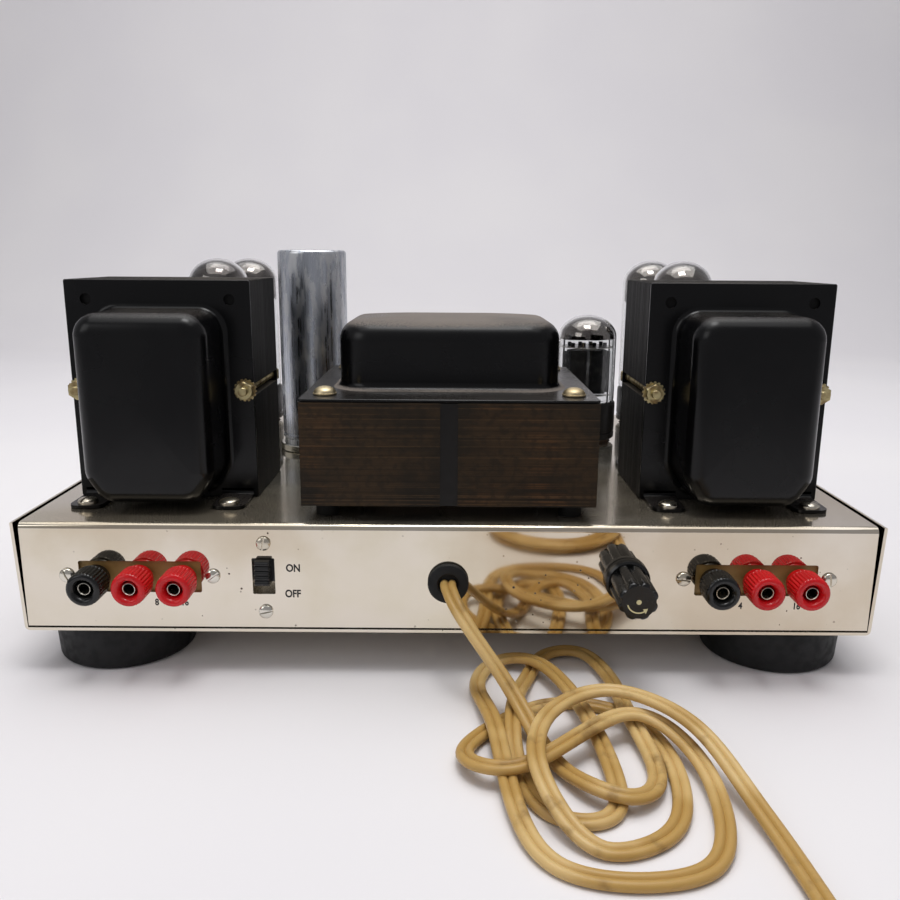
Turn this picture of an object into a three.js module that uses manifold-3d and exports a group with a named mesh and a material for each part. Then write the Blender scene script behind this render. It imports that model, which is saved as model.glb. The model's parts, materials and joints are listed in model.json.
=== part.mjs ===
// A stereo power amplifier with vacuum tubes, seen on its bench: a plated steel chassis on four big feet,
// three transformers along the terminal side, tubes and a filter can behind them, a mains lead in front.
// Millimetres, +Z up, +X to the right of someone who faces the speaker terminals, which look along -Y.
// The origin is on the floor under the middle of the amplifier, without its lead.
import * as THREE from "three";
import { mergeVertices } from "three/addons/utils/BufferGeometryUtils.js";
import Module from "manifold-3d";

const wasm = await Module();
wasm.setup();

// Clearances, and how far a cutter or a joined shape runs past what it meets
const seatGap = 0.3;
const runGap = 0.3;
const cutOverrun = 1;
const weldDistance = 0.0005;

// Feet: turned rubber with a rounded lower edge
const footHeight = 17.5;
const footTopRadius = 28.5;
const footLowRadius = 27.5;
const footEdgeRadius = 4;
const footInsetX = 27.8;
const footInsetY = 28.5;

// Bottom cover: a tray bent up at both ends, its walls leaning out a little
const coverSheet = 1.2;
const coverSideGap = 0.9;
const coverLean = 1.7;
const coverBend = 2;
const ventLength = 44;
const ventWidth = 3.6;
const ventPitch = 20;
const ventRowOffset = 40;
const ventsPerRow = 6;

// Chassis: a plated steel box with no floor
const chassisWidth = 330;
const chassisDepth = 240;
const chassisHeight = 43;
const chassisSheet = 1.2;
const chassisBend = 2.4;

// Power transformer: laminations lying flat, its coil standing through the deck
const powerFront = 4;
const powerLift = 6.3;
const powerLegWidth = 19.05;
const powerLegCount = 6;
const powerCoreWidth = powerLegWidth * powerLegCount;
const powerCoreDepth = 101;
const powerCoreHeight = 40.5;
const powerWindowLength = 42.8;
const powerSeamWidth = 6.8;
const powerSeamDepth = 1.2;
const powerCoilRise = 18;
const powerCoilSlack = 0.6;
const powerDeckMargin = 2.2;
const powerPlateSheet = 1;
const powerBellSide = 7.5;
const powerBellFront = 7.7;
const powerBellHeight = 29;
const powerBellCorner = 13;
const powerBellEdge = 8;
const powerBellFillet = 3;
const powerBoltInsetX = 8.7;
const powerBoltInsetY = 11.2;
const powerBoltRadius = 2.4;
const powerHeadRadius = 4.6;
const powerHeadHeight = 3.2;
const powerNutHeight = 3.6;
const powerBoltTail = 3;

// Output transformers: laminations standing up, a bell in front and one behind
const outputGap = 23.95;
const outputFront = 37.3;
const outputCoreWidth = 75.2;
const outputCoreHeight = 90.5;
const outputStack = 45;
const outputLegCount = 6;
const outputLegWidth = outputCoreHeight / outputLegCount;
const outputYokeWidth = 15;
const outputWindowLength = outputCoreWidth - outputYokeWidth * 2;
const outputOffset = powerCoreWidth / 2 + outputGap + outputCoreWidth / 2;
const outputFlangeSheet = 1.2;
const outputCoilRise = 15.6;
const outputCoilSlack = 0.5;
const outputBellSide = 3.4;
const outputBellLow = 4;
const outputBellDrop = 11.8;
const outputBellDepth = 28.7;
const outputBellCorner = 9;
const outputBellCutX = 7;
const outputBellCutZ = 11;
const outputBellEdge = 7;
const outputBellFillet = 2.4;
const outputSpareHoleRadius = 2.25;
const outputSpareHoleInset = 8.5;
const outputSpareHoleDrop = 7.8;
const outputTabInset = 8.7;
const outputTabHalfWidth = 6.7;
const outputTabReach = 19.2;
const outputTabCorner = 4;
const outputBoltInset = 3.4;
const outputBoltRise = 0.65;
const outputBoltRadius = 1.9;
const outputNutRadius = 4.15;
const outputNutHeight = 3.2;
const outputWasherRadius = 4.9;
const outputWasherSheet = 0.8;
const outputBoltTail = 2.4;

// Bent sheet of the transformer bells
const bellSheet = 1.2;

// Filter can
const canInset = 93.5;
const canX = canInset - chassisWidth / 2;
const canY = 137;
const canRadius = 17.5;
const canHeight = 103.2;
const canEdge = 1.6;
const canRingRadius = 19;
const canRingHeight = 3.4;
const canNeckDepth = 0.7;
const canNeckHeight = 3;
const canStubRadius = 12.4;
const canStubLength = 7;

// Octal tubes: glass bottle, base and keyed spigot in one lathe-turned shell
const glassWall = 1.1;
const tubeBaseRadius = 16.6;
const tubeBaseHeight = 21;
const powerTubeRadius = 16.1;
const powerTubeHeight = 96.7;
const powerTubeDome = 13.6;
const rectifierRadius = 15.8;
const rectifierHeight = 67.7;
const rectifierDome = 12;
const spigotRadius = 3.9;
const spigotLength = 10.6;
const pumpHoleRadius = 1.2;
const nearTubeInset = 37;
const nearTubeY = 166;
const farTubeInset = 44;
const farTubeY = 211;
const rectifierInset = 89;
const rectifierX = chassisWidth / 2 - rectifierInset;
const rectifierY = 160;

// Octal sockets, carried by a phenolic board under the deck on each side
const socketRise = 2;
const socketRadius = 14.2;
const socketKeyRadius = 4.3;
const pinRingInner = 6.9;
const pinRingOuter = 10.6;
const pinRingDepth = 9;
const socketDepth = 12;
const socketBoardSheet = 1.6;
const socketBoardMargin = 4.6;

// Driver board with its two small tubes
const driverBoardWidth = 100;
const driverBoardDepth = 52;
const driverBoardSheet = 1.6;
const driverBoardY = 205;
const standoffHeight = 3;
const standoffRadius = 3;
const standoffInset = 4.5;
const driverCutMargin = 10;
const driverTubeX = 30;
const driverTubeRadius = 11;
const driverTubeHeight = 48;
const driverTubeTip = 4;
const driverTubeDome = 6;
const driverSpigotRadius = 5.8;
const driverSpigotLength = 5;
const driverSocketWall = 4.6;
const driverSocketHeight = 6;

// Terminal side, heights counted from the middle of the panel
const panelMiddle = chassisHeight / 2;
const postBelow = 0.5;
const postDrop = panelMiddle + postBelow;
const postSpacing = 16.8;
const postGroupInset = 45;
const postGroupX = chassisWidth / 2 - postGroupInset;
const terminalOpeningWidth = 47.6;
const terminalOpeningHeight = 12.8;
const terminalOpeningBelow = 0.2;
const terminalOpeningDrop = panelMiddle + terminalOpeningBelow;
const terminalBoardWidth = 64;
const terminalBoardHeight = 21;
const terminalBoardSheet = 1.6;
const rodRadius = 2.7;
const rodBore = 2;
const rodCollarRadius = 4.2;
const rodCollarHeight = 1.4;
const postTravel = 4;
const postTravelSpare = 0.4;
const capReach = 14;
const capRadius = 6.7;
const capFluteDepth = 0.45;
const capFlutedLength = 9.2;
const capBackRadius = 5.4;
const capMouthRadius = 3.5;
const capMouthDepth = 1.6;
const capNeckRadius = 4.6;
const capFlutes = 12;

// Mains switch, a slider in a slot
const switchInset = 93.1;
const switchX = switchInset - chassisWidth / 2;
const switchAbove = 0.3;
const switchDrop = panelMiddle - switchAbove;
const switchSlotWidth = 8.8;
const switchSlotHeight = 14.8;
const switchTravel = 4.4;
const sliderWidth = 5.8;
const sliderReach = 4;
const sliderRidgeDepth = 0.5;
const sliderRidges = 5;
const sliderShoeDepth = 4;
const switchPlateWidth = 12.4;
const switchPlateMargin = 3.5;
const switchPlateHeight = chassisHeight - switchPlateMargin * 2;
const switchPlateSheet = 1;
const switchBodyHeight = 25;
const switchBodyDepth = 11;

// Fuse holder, its bayonet cap and the glass fuse
const fuseInset = 95.5;
const fuseX = chassisWidth / 2 - fuseInset;
const fuseDrop = panelMiddle;
const fuseCapReach = 22.6;
const fuseCapRadius = 7.65;
const fuseCapLobeDepth = 1.3;
const fuseCapLobes = 8;
const fuseCapStemRadius = 5;
const fuseCapStemLength = 9;
const fuseCollarRadius = 8.8;
const fuseCollarHeight = 3.6;
const fuseCollarEdge = 1.2;
const fuseBarrelRadius = 6.4;
const fuseBarrelLength = 31;
const fuseNutRadius = 9;
const fuseNutHeight = 4;
const fuseFloor = 3;
const fuseRadius = 3.2;
const fuseLength = 31.8;
const fuseRoof = 7;

// Cord bushing
const bushingBelow = 1.7;
const bushingDrop = panelMiddle + bushingBelow;
const bushingRadius = 8;
const bushingReach = 2.8;
const bushingEdge = 1;
const bushingNeckRadius = 6.2;
const bushingBackRadius = 7.4;
const bushingBackHeight = 2.4;
const bushingMouthRadius = 3.7;
const bushingMouthDepth = 1.8;

// Input jacks, a pair on one board
const jackDrop = panelMiddle;
const jackSpacing = 30;
const jackReach = 9.4;
const jackRadius = 4.2;
const jackMouthRadius = 1.7;
const jackMouthDepth = 8;
const jackShoulderRadius = 6;
const jackShoulderHeight = 1.4;
const jackBoardWidth = 58;
const jackBoardHeight = 19;
const jackBoardSheet = 1.6;

// Mains lead: a flat twin cord, a coil of its unseen length and the plug
const cordWidth = 6.2;
const cordThickness = 3.2;
const cordEdge = 1.1;
const cordLift = 0.1;
const cordSmoothing = 7;
const coilOuterRadius = 38;
const coilGap = 0.5;
const coilX = 62;
const coilY = -176;
const coilTail = 25;
const plugLength = 27;
const plugWidth = 19;
const plugHeight = 10;
const plugCorner = 4;
const plugNeck = 8;
const plugNeckWidth = 9;
const plugNeckHeight = 6;
const plugShoulder = 2;
const bladeLength = 16;
const bladeWidth = 6.3;
const bladeSheet = 1.5;
const bladeSpacing = 12.7;

// Facets of round things, turns and steps of the lead
const bigSides = 20;
const canSides = 16;
const tubeSides = 14;
const midSides = 12;
const smallSides = 10;
const boltSides = 8;
const bendSteps = 3;
const innerBendSteps = 2;
const cornerSteps = 3;
const chamferSteps = 1;
const coilTurns = 3;
const coilStepsPerTurn = 24;
const coilClimbTurns = 0.5;
const cordSteps = 80;
const quarterTurn = Math.PI / 2;
const fullTurn = Math.PI * 2;

// Heights that the stack of feet, cover and chassis gives
const coverBottom = footHeight + seatGap;
const chassisBottom = coverBottom + coverSheet + seatGap;
const deck = chassisBottom + chassisHeight;
const panelBack = chassisSheet;
const middleY = (chassisDepth + jackReach - fuseCapReach) / 2;
const cordRest = cordThickness / 2 + cordLift;

// Finishes
function finish(color, roughness, metalness) {
  return new THREE.MeshStandardMaterial({ color, roughness, metalness });
}
const nickel = finish(0xc9c1b4, 0.22, 1);
const darkPlate = finish(0xa79f90, 0.35, 1);
const blackEnamel = finish(0x101214, 0.35, 0.1);
const rustedIron = finish(0x3b2418, 0.75, 0.3);
const blackIron = finish(0x1a1716, 0.6, 0.3);
const copper = finish(0x9a5a32, 0.5, 0.6);
const brass = finish(0xa3936a, 0.4, 0.9);
const aluminium = finish(0xb4bac2, 0.4, 1);
const bottleGlass = finish(0x5b5f60, 0.08, 0);
const phenolic = finish(0x8a6a2c, 0.6, 0);
const boardGreen = finish(0x4a5a3a, 0.6, 0);
const blackPlastic = finish(0x121212, 0.4, 0);
const redPlastic = finish(0xc81420, 0.35, 0);
const rubber = finish(0x1c1e20, 0.7, 0);
const fuseGlass = finish(0xb9c4c4, 0.1, 0.2);
const cordVinyl = finish(0xb48f52, 0.5, 0);

// Solids

function solidOf(geometry) {
  const bare = geometry.index ? geometry.toNonIndexed() : geometry.clone();
  bare.deleteAttribute("normal");
  bare.deleteAttribute("uv");
  const merged = mergeVertices(bare, weldDistance);
  const corners = merged.index.array;
  const kept = [];
  for (let i = 0; i < corners.length; i += 3) {
    const [a, b, c] = [corners[i], corners[i + 1], corners[i + 2]];
    if (a !== b && b !== c && c !== a) kept.push(a, b, c);
  }
  const vertProperties = merged.attributes.position.array;
  const triVerts = new Uint32Array(kept);
  return new wasm.Manifold(new wasm.Mesh({ numProp: 3, vertProperties, triVerts }));
}

function cut(base, ...cutters) {
  return cutters.reduce((left, cutter) => left.subtract(solidOf(cutter)), base);
}

function join(...geometries) {
  return geometries.map(solidOf).reduce((sum, next) => sum.add(next));
}

function piece(name, solid, material) {
  const { numProp, vertProperties, triVerts } = solid.getMesh();
  const geometry = new THREE.BufferGeometry();
  geometry.setAttribute("position", new THREE.BufferAttribute(vertProperties, numProp));
  geometry.setIndex(new THREE.BufferAttribute(triVerts, 1));
  geometry.computeVertexNormals();
  const mesh = new THREE.Mesh(geometry, material);
  mesh.name = name;
  return mesh;
}

function geometryOf(solid) {
  return piece("", solid, null).geometry;
}

// A box between two corners, each corner a list of x, y and z
function block(low, high) {
  const size = high.map((value, i) => value - low[i]);
  const middle = high.map((value, i) => (value + low[i]) / 2);
  return new THREE.BoxGeometry(...size).translate(...middle);
}

// A closed profile of [radius, height] turned about +Z, whichever way round it is listed
function turned(profile, sides) {
  const first = profile[0];
  const last = profile[profile.length - 1];
  const ring = first[0] > 0 || last[0] > 0 ? [...profile, first] : profile;
  const area = ring.reduce((sum, [r, h], i) => {
    const [nextR, nextH] = ring[(i + 1) % ring.length];
    return sum + r * nextH - nextR * h;
  }, 0);
  const ordered = area > 0 ? ring : [...ring].reverse();
  const points = ordered.map(([r, h]) => new THREE.Vector2(r, h));
  return new THREE.LatheGeometry(points, sides).rotateX(quarterTurn);
}

function bar(radius, bottom, top, sides) {
  return turned([[0, bottom], [radius, bottom], [radius, top], [0, top]], sides);
}

// Turned shapes stand along +Z; these lay them along the way out of each panel
const outOfTerminals = (geometry) => geometry.rotateX(quarterTurn);
const outOfInputs = (geometry) => geometry.rotateX(-quarterTurn);

// An outline with rounded corners, moved inwards by inset; corners run anticlockwise
function roundedOutline(corners, radii, inset, steps = cornerSteps) {
  const edges = corners.map((corner, i) => {
    const along = corners[(i + 1) % corners.length].clone().sub(corner).normalize();
    const inward = new THREE.Vector2(-along.y, along.x);
    return { along, inward, start: corner.clone().addScaledVector(inward, inset) };
  });
  return edges.flatMap((edge, i) => {
    const before = edges[(i + edges.length - 1) % edges.length];
    const between = edge.start.clone().sub(before.start);
    const reach = between.cross(edge.along) / before.along.cross(edge.along);
    const corner = before.start.clone().addScaledVector(before.along, reach);
    const radius = radii[i] - inset;
    if (radii[i] <= 0 || radius <= 0) return [corner];
    const turn = Math.acos(THREE.MathUtils.clamp(before.along.dot(edge.along), -1, 1));
    const bisector = before.inward.clone().add(edge.inward).normalize();
    const centre = corner.addScaledVector(bisector, radius / Math.cos(turn / 2));
    const start = Math.atan2(-before.inward.y, -before.inward.x);
    return Array.from({ length: steps + 1 }, (_, step) => {
      const angle = start + (turn * step) / steps;
      const out = new THREE.Vector2(Math.cos(angle), Math.sin(angle));
      return centre.clone().addScaledVector(out, radius);
    });
  });
}

function outlineOf(points) {
  return points.map(([x, y]) => new THREE.Vector2(x, y));
}

function rectangle(left, right, low, high) {
  return outlineOf([[left, low], [right, low], [right, high], [left, high]]);
}

// A closed solid through rings of as many points each, anticlockwise seen from the last ring
function skin(rings) {
  const count = rings[0].length;
  const points = rings.flat();
  const faces = [];
  for (let level = 0; level + 1 < rings.length; level += 1) {
    for (let i = 0; i < count; i += 1) {
      const [a, b] = [level * count + i, level * count + ((i + 1) % count)];
      faces.push(a, b, b + count, a, b + count, a + count);
    }
  }
  [rings[0], rings[rings.length - 1]].forEach((ring, end) => {
    const middle = ring.reduce((sum, p) => sum.add(p), new THREE.Vector3()).divideScalar(count);
    const centre = points.push(middle) - 1;
    const first = end * (rings.length - 1) * count;
    for (let i = 0; i < count; i += 1) {
      const pair = [first + i, first + ((i + 1) % count)];
      faces.push(centre, ...(end ? pair : pair.reverse()));
    }
  });
  const geometry = new THREE.BufferGeometry().setFromPoints(points);
  geometry.setIndex(faces);
  return geometry;
}

function loft(levels) {
  return skin(levels.map(({ outline, z }) => outline.map((p) => new THREE.Vector3(p.x, p.y, z))));
}

function prism(outline, bottom, top) {
  return loft([{ outline, z: bottom }, { outline, z: top }]);
}

// A drawn sheet-metal bell, open at z = 0, its outline given at the wall
function bellShape({ corners, radii, height, edge, fillet, plate, steps }) {
  const ring = (inset, z) => ({ outline: roundedOutline(corners, radii, inset, steps), z });
  const arc = (count, make) => Array.from({ length: count + 1 }, (_, i) => make((quarterTurn * i) / count));
  const outside = [
    ring(-fillet, 0),
    ring(0, fillet),
    ...arc(bendSteps, (a) => ring(edge * (1 - Math.cos(a)), height - edge * (1 - Math.sin(a)))),
  ];
  const insideEdge = edge - bellSheet;
  const inside = [
    ring(bellSheet, -plate - cutOverrun),
    ...arc(innerBendSteps, (a) =>
      ring(bellSheet + insideEdge * (1 - Math.cos(a)), height - edge + insideEdge * Math.sin(a))),
  ];
  return { outside: loft(outside), inside: loft(inside) };
}

// An outline about the origin with count grooves of the given depth, its crests at shares of each turn
function groovedOutline(radius, depth, count, crestShares) {
  return Array.from({ length: count }, (_, groove) => [0, ...crestShares].map((share) => {
    const angle = ((groove + share) / count) * fullTurn;
    const reach = share === 0 ? radius - depth : radius;
    return new THREE.Vector2(reach * Math.cos(angle), reach * Math.sin(angle));
  })).flat();
}

const assembly = new THREE.Group();
assembly.position.y = -middleY;

function add(mesh, x = 0, y = 0, z = 0) {
  mesh.position.set(x, y, z);
  assembly.add(mesh);
  return mesh;
}

// Places that several pieces share
const sides = [{ side: "left", sign: -1 }, { side: "right", sign: 1 }];
const corners = sides.flatMap(({ side, sign }) => [
  { name: `${side}_near`, sign, near: true },
  { name: `${side}_far`, sign, near: false },
]);
const powerMiddleY = powerFront + powerCoreDepth / 2;
const powerCoreTop = powerLift + powerCoreHeight;
const powerBolts = corners.map(({ name, sign, near }) => ({
  name,
  x: sign * (powerCoreWidth / 2 - powerBoltInsetX),
  y: powerMiddleY + (near ? -1 : 1) * (powerCoreDepth / 2 - powerBoltInsetY),
}));
const powerTubePlaces = corners.map(({ name, sign, near }) => ({
  name: `power_tube_${name}`,
  x: sign * (chassisWidth / 2 - (near ? nearTubeInset : farTubeInset)),
  y: near ? nearTubeY : farTubeY,
}));
const socketPlaces = [...powerTubePlaces, { name: "rectifier_tube", x: rectifierX, y: rectifierY }];
const postPlaces = sides.flatMap(({ side, sign }) =>
  [["outer", 1], ["middle", 0], ["inner", -1]].map(([rank, outward]) => ({
    name: `${side}_${rank}`,
    side,
    x: sign * (postGroupX + outward * postSpacing),
    // The post furthest to the left in each group is the black one
    colour: sign * outward < 0 ? blackPlastic : redPlastic,
  })));

function makeFeet() {
  const low = footLowRadius - footEdgeRadius;
  const profile = [[0, 0], [low, 0]];
  for (let i = 1; i <= bendSteps; i += 1) {
    const angle = (quarterTurn * i) / bendSteps;
    profile.push([low + footEdgeRadius * Math.sin(angle), footEdgeRadius * (1 - Math.cos(angle))]);
  }
  profile.push([footTopRadius, footHeight], [0, footHeight]);
  corners.forEach(({ name, sign, near }) => {
    const y = near ? footInsetY : chassisDepth - footInsetY;
    const x = sign * (chassisWidth / 2 - footInsetX);
    add(piece(`foot_${name}`, solidOf(turned(profile, bigSides)), rubber), x, y);
  });
}

function makeBottomCover() {
  const half = chassisWidth / 2 + coverSideGap + coverSheet;
  const height = coverSheet + seatGap + chassisHeight;
  const tray = outlineOf([[-half, 0], [half, 0], [half + coverLean, height], [-half - coverLean, height]]);
  const lean = coverLean / height;
  const wall = coverSheet * Math.hypot(1, lean);
  const inHalf = half - wall + coverSheet * lean;
  const inLean = (height + cutOverrun - coverSheet) * lean;
  const hollow = outlineOf([
    [-inHalf, coverSheet], [inHalf, coverSheet],
    [inHalf + inLean, height + cutOverrun], [-inHalf - inLean, height + cutOverrun],
  ]);
  const bend = [coverBend, coverBend, 0, 0];
  const inBend = [coverBend - coverSheet, coverBend - coverSheet, 0, 0];
  const outside = prism(roundedOutline(tray, bend, 0), -chassisDepth, 0);
  const inside = prism(roundedOutline(hollow, inBend, 0), -chassisDepth - cutOverrun, cutOverrun);
  const vents = [-1, 1].flatMap((row) => Array.from({ length: ventsPerRow }, (_, i) => {
    const x = (i - (ventsPerRow - 1) / 2) * ventPitch;
    const y = chassisDepth / 2 + row * ventRowOffset;
    return block(
      [x - ventWidth / 2, y - ventLength / 2, -cutOverrun],
      [x + ventWidth / 2, y + ventLength / 2, coverSheet + cutOverrun],
    );
  }));
  const shell = cut(solidOf(outOfTerminals(outside)), outOfTerminals(inside), ...vents);
  add(piece("bottom_cover", shell, nickel), 0, 0, coverBottom);
}

function makeChassis() {
  const section = (inset, low) => {
    const frame = rectangle(inset, chassisDepth - inset, low, chassisHeight - inset);
    const bend = chassisBend - inset;
    return roundedOutline(frame, [0, 0, bend, bend], 0);
  };
  // A section drawn in y and z is carried along x
  const acrossX = new THREE.Matrix4().makeBasis(
    new THREE.Vector3(0, 1, 0), new THREE.Vector3(0, 0, 1), new THREE.Vector3(1, 0, 0));
  const half = chassisWidth / 2;
  const outside = prism(section(0, 0), -half, half).applyMatrix4(acrossX);
  const inside = prism(section(chassisSheet, -cutOverrun), chassisSheet - half, half - chassisSheet);
  const [holeLow, holeHigh] = [chassisHeight - chassisSheet - cutOverrun, chassisHeight + cutOverrun];
  const deckHole = (radius, x, y, count) => bar(radius, holeLow, holeHigh, count).translate(x, y, 0);
  const deckWindow = (halfX, y, halfY) =>
    block([-halfX, y - halfY, holeLow], [halfX, y + halfY, holeHigh]);
  const panelHole = (radius, x, drop, y) => outOfTerminals(
    bar(radius, -chassisSheet - cutOverrun, cutOverrun, midSides)).translate(x, y, chassisHeight - drop);
  const panelWindow = (x, width, drop, height) => block(
    [x - width / 2, -cutOverrun, chassisHeight - drop - height / 2],
    [x + width / 2, chassisSheet + cutOverrun, chassisHeight - drop + height / 2],
  );
  const coilHalfX = powerLegWidth * 2 + powerDeckMargin;
  const coilHalfY = powerWindowLength / 2 + powerDeckMargin;
  const driverHalfX = driverBoardWidth / 2 - driverCutMargin;
  const driverHalfY = driverBoardDepth / 2 - driverCutMargin;
  const jackHoles = [-1, 1].map((sign) => panelHole(
    jackRadius + runGap * 2, (sign * jackSpacing) / 2, jackDrop, chassisDepth - chassisSheet));
  const shell = cut(
    solidOf(outside),
    inside.applyMatrix4(acrossX),
    deckWindow(coilHalfX, powerMiddleY, coilHalfY),
    deckWindow(driverHalfX, driverBoardY, driverHalfY),
    deckHole(canStubRadius + runGap * 2, canX, canY, canSides),
    ...socketPlaces.map(({ x, y }) => deckHole(socketRadius + runGap * 2, x, y, midSides)),
    ...powerBolts.map(({ x, y }) => deckHole(powerBoltRadius + runGap, x, y, boltSides)),
    ...sides.map(({ sign }) => panelWindow(
      sign * postGroupX, terminalOpeningWidth, terminalOpeningDrop, terminalOpeningHeight)),
    panelWindow(switchX, switchSlotWidth, switchDrop, switchSlotHeight),
    panelHole(fuseBarrelRadius + runGap, fuseX, fuseDrop, 0),
    panelHole(bushingNeckRadius + runGap, 0, bushingDrop, 0),
    ...jackHoles,
  );
  add(piece("chassis", shell, nickel), 0, 0, chassisBottom);
}

function makePowerTransformer() {
  const halfX = powerCoreWidth / 2;
  const halfY = powerCoreDepth / 2;
  const window = (sign) => {
    const [near, far] = [sign * powerLegWidth, sign * powerLegWidth * 2].sort((a, b) => a - b);
    return block(
      [near, -powerWindowLength / 2, powerLift - cutOverrun],
      [far, powerWindowLength / 2, powerCoreTop + cutOverrun],
    );
  };
  const seam = (sign) => {
    const [low, high] = [halfY - powerSeamDepth, halfY + cutOverrun]
      .map((y) => y * sign).sort((a, b) => a - b);
    return block(
      [-powerSeamWidth / 2, low, powerLift - cutOverrun],
      [powerSeamWidth / 2, high, powerCoreTop + cutOverrun],
    );
  };
  const boltHole = ({ x, y }, low, high) =>
    bar(powerBoltRadius + runGap, low - cutOverrun, high + cutOverrun, boltSides)
      .translate(x, y - powerMiddleY, 0);
  const core = cut(
    solidOf(block([-halfX, -halfY, powerLift], [halfX, halfY, powerCoreTop])),
    window(-1), window(1), seam(-1), seam(1),
    ...powerBolts.map((bolt) => boltHole(bolt, powerLift, powerCoreTop)),
  );
  add(piece("power_core", core, rustedIron), 0, powerMiddleY, deck);

  const coilHalfX = powerLegWidth * 2 - powerCoilSlack;
  const coilHalfY = powerWindowLength / 2 - powerCoilSlack;
  const legHalf = powerLegWidth + runGap;
  const coilOutline = rectangle(-coilHalfX, coilHalfX, -coilHalfY, coilHalfY);
  const coil = cut(
    solidOf(prism(
      roundedOutline(coilOutline, coilOutline.map(() => powerBellCorner), 0),
      powerLift - runGap - powerCoilRise,
      powerCoreTop + runGap + powerCoilRise,
    )),
    block(
      [-legHalf, -coilHalfY - cutOverrun, powerLift - runGap],
      [legHalf, coilHalfY + cutOverrun, powerCoreTop + runGap],
    ),
  );
  add(piece("power_coil", coil, copper), 0, powerMiddleY, deck);

  const plateBottom = powerCoreTop + seatGap;
  const plateTop = plateBottom + powerPlateSheet;
  const [bellX, bellY] = [coilHalfX + powerBellSide, coilHalfY + powerBellFront];
  const bellCorners = rectangle(-bellX, bellX, -bellY, bellY);
  const shape = bellShape({
    corners: bellCorners,
    radii: bellCorners.map(() => powerBellCorner),
    height: powerBellHeight,
    edge: powerBellEdge,
    fillet: powerBellFillet,
    plate: powerPlateSheet,
    steps: cornerSteps,
  });
  const bell = cut(
    join(
      block([-halfX, -halfY, plateBottom], [halfX, halfY, plateTop]),
      shape.outside.translate(0, 0, plateTop),
    ),
    shape.inside.translate(0, 0, plateTop),
    ...powerBolts.map((bolt) => boltHole(bolt, plateBottom, plateTop)),
  );
  add(piece("power_bell", bell, blackEnamel), 0, powerMiddleY, deck);

  const headShares = [[1, 0], [0.8, 0.7], [0, 1]];
  const nutTop = -chassisSheet - seatGap;
  const bolt = [
    [0, nutTop - powerNutHeight - powerBoltTail],
    [powerBoltRadius, nutTop - powerNutHeight - powerBoltTail],
    [powerBoltRadius, nutTop - powerNutHeight],
    [powerHeadRadius, nutTop - powerNutHeight],
    [powerHeadRadius, nutTop],
    [powerBoltRadius, nutTop],
    [powerBoltRadius, seatGap],
    [powerHeadRadius, seatGap],
    [powerHeadRadius, powerLift - seatGap],
    [powerBoltRadius, powerLift - seatGap],
    [powerBoltRadius, plateTop + seatGap],
    ...headShares.map(([r, h]) => [powerHeadRadius * r, plateTop + seatGap + powerHeadHeight * h]),
  ];
  powerBolts.forEach(({ name, x, y }) => {
    add(piece(`power_bolt_${name}`, solidOf(turned(bolt, boltSides)), brass), x, y, deck);
  });
}

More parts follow.
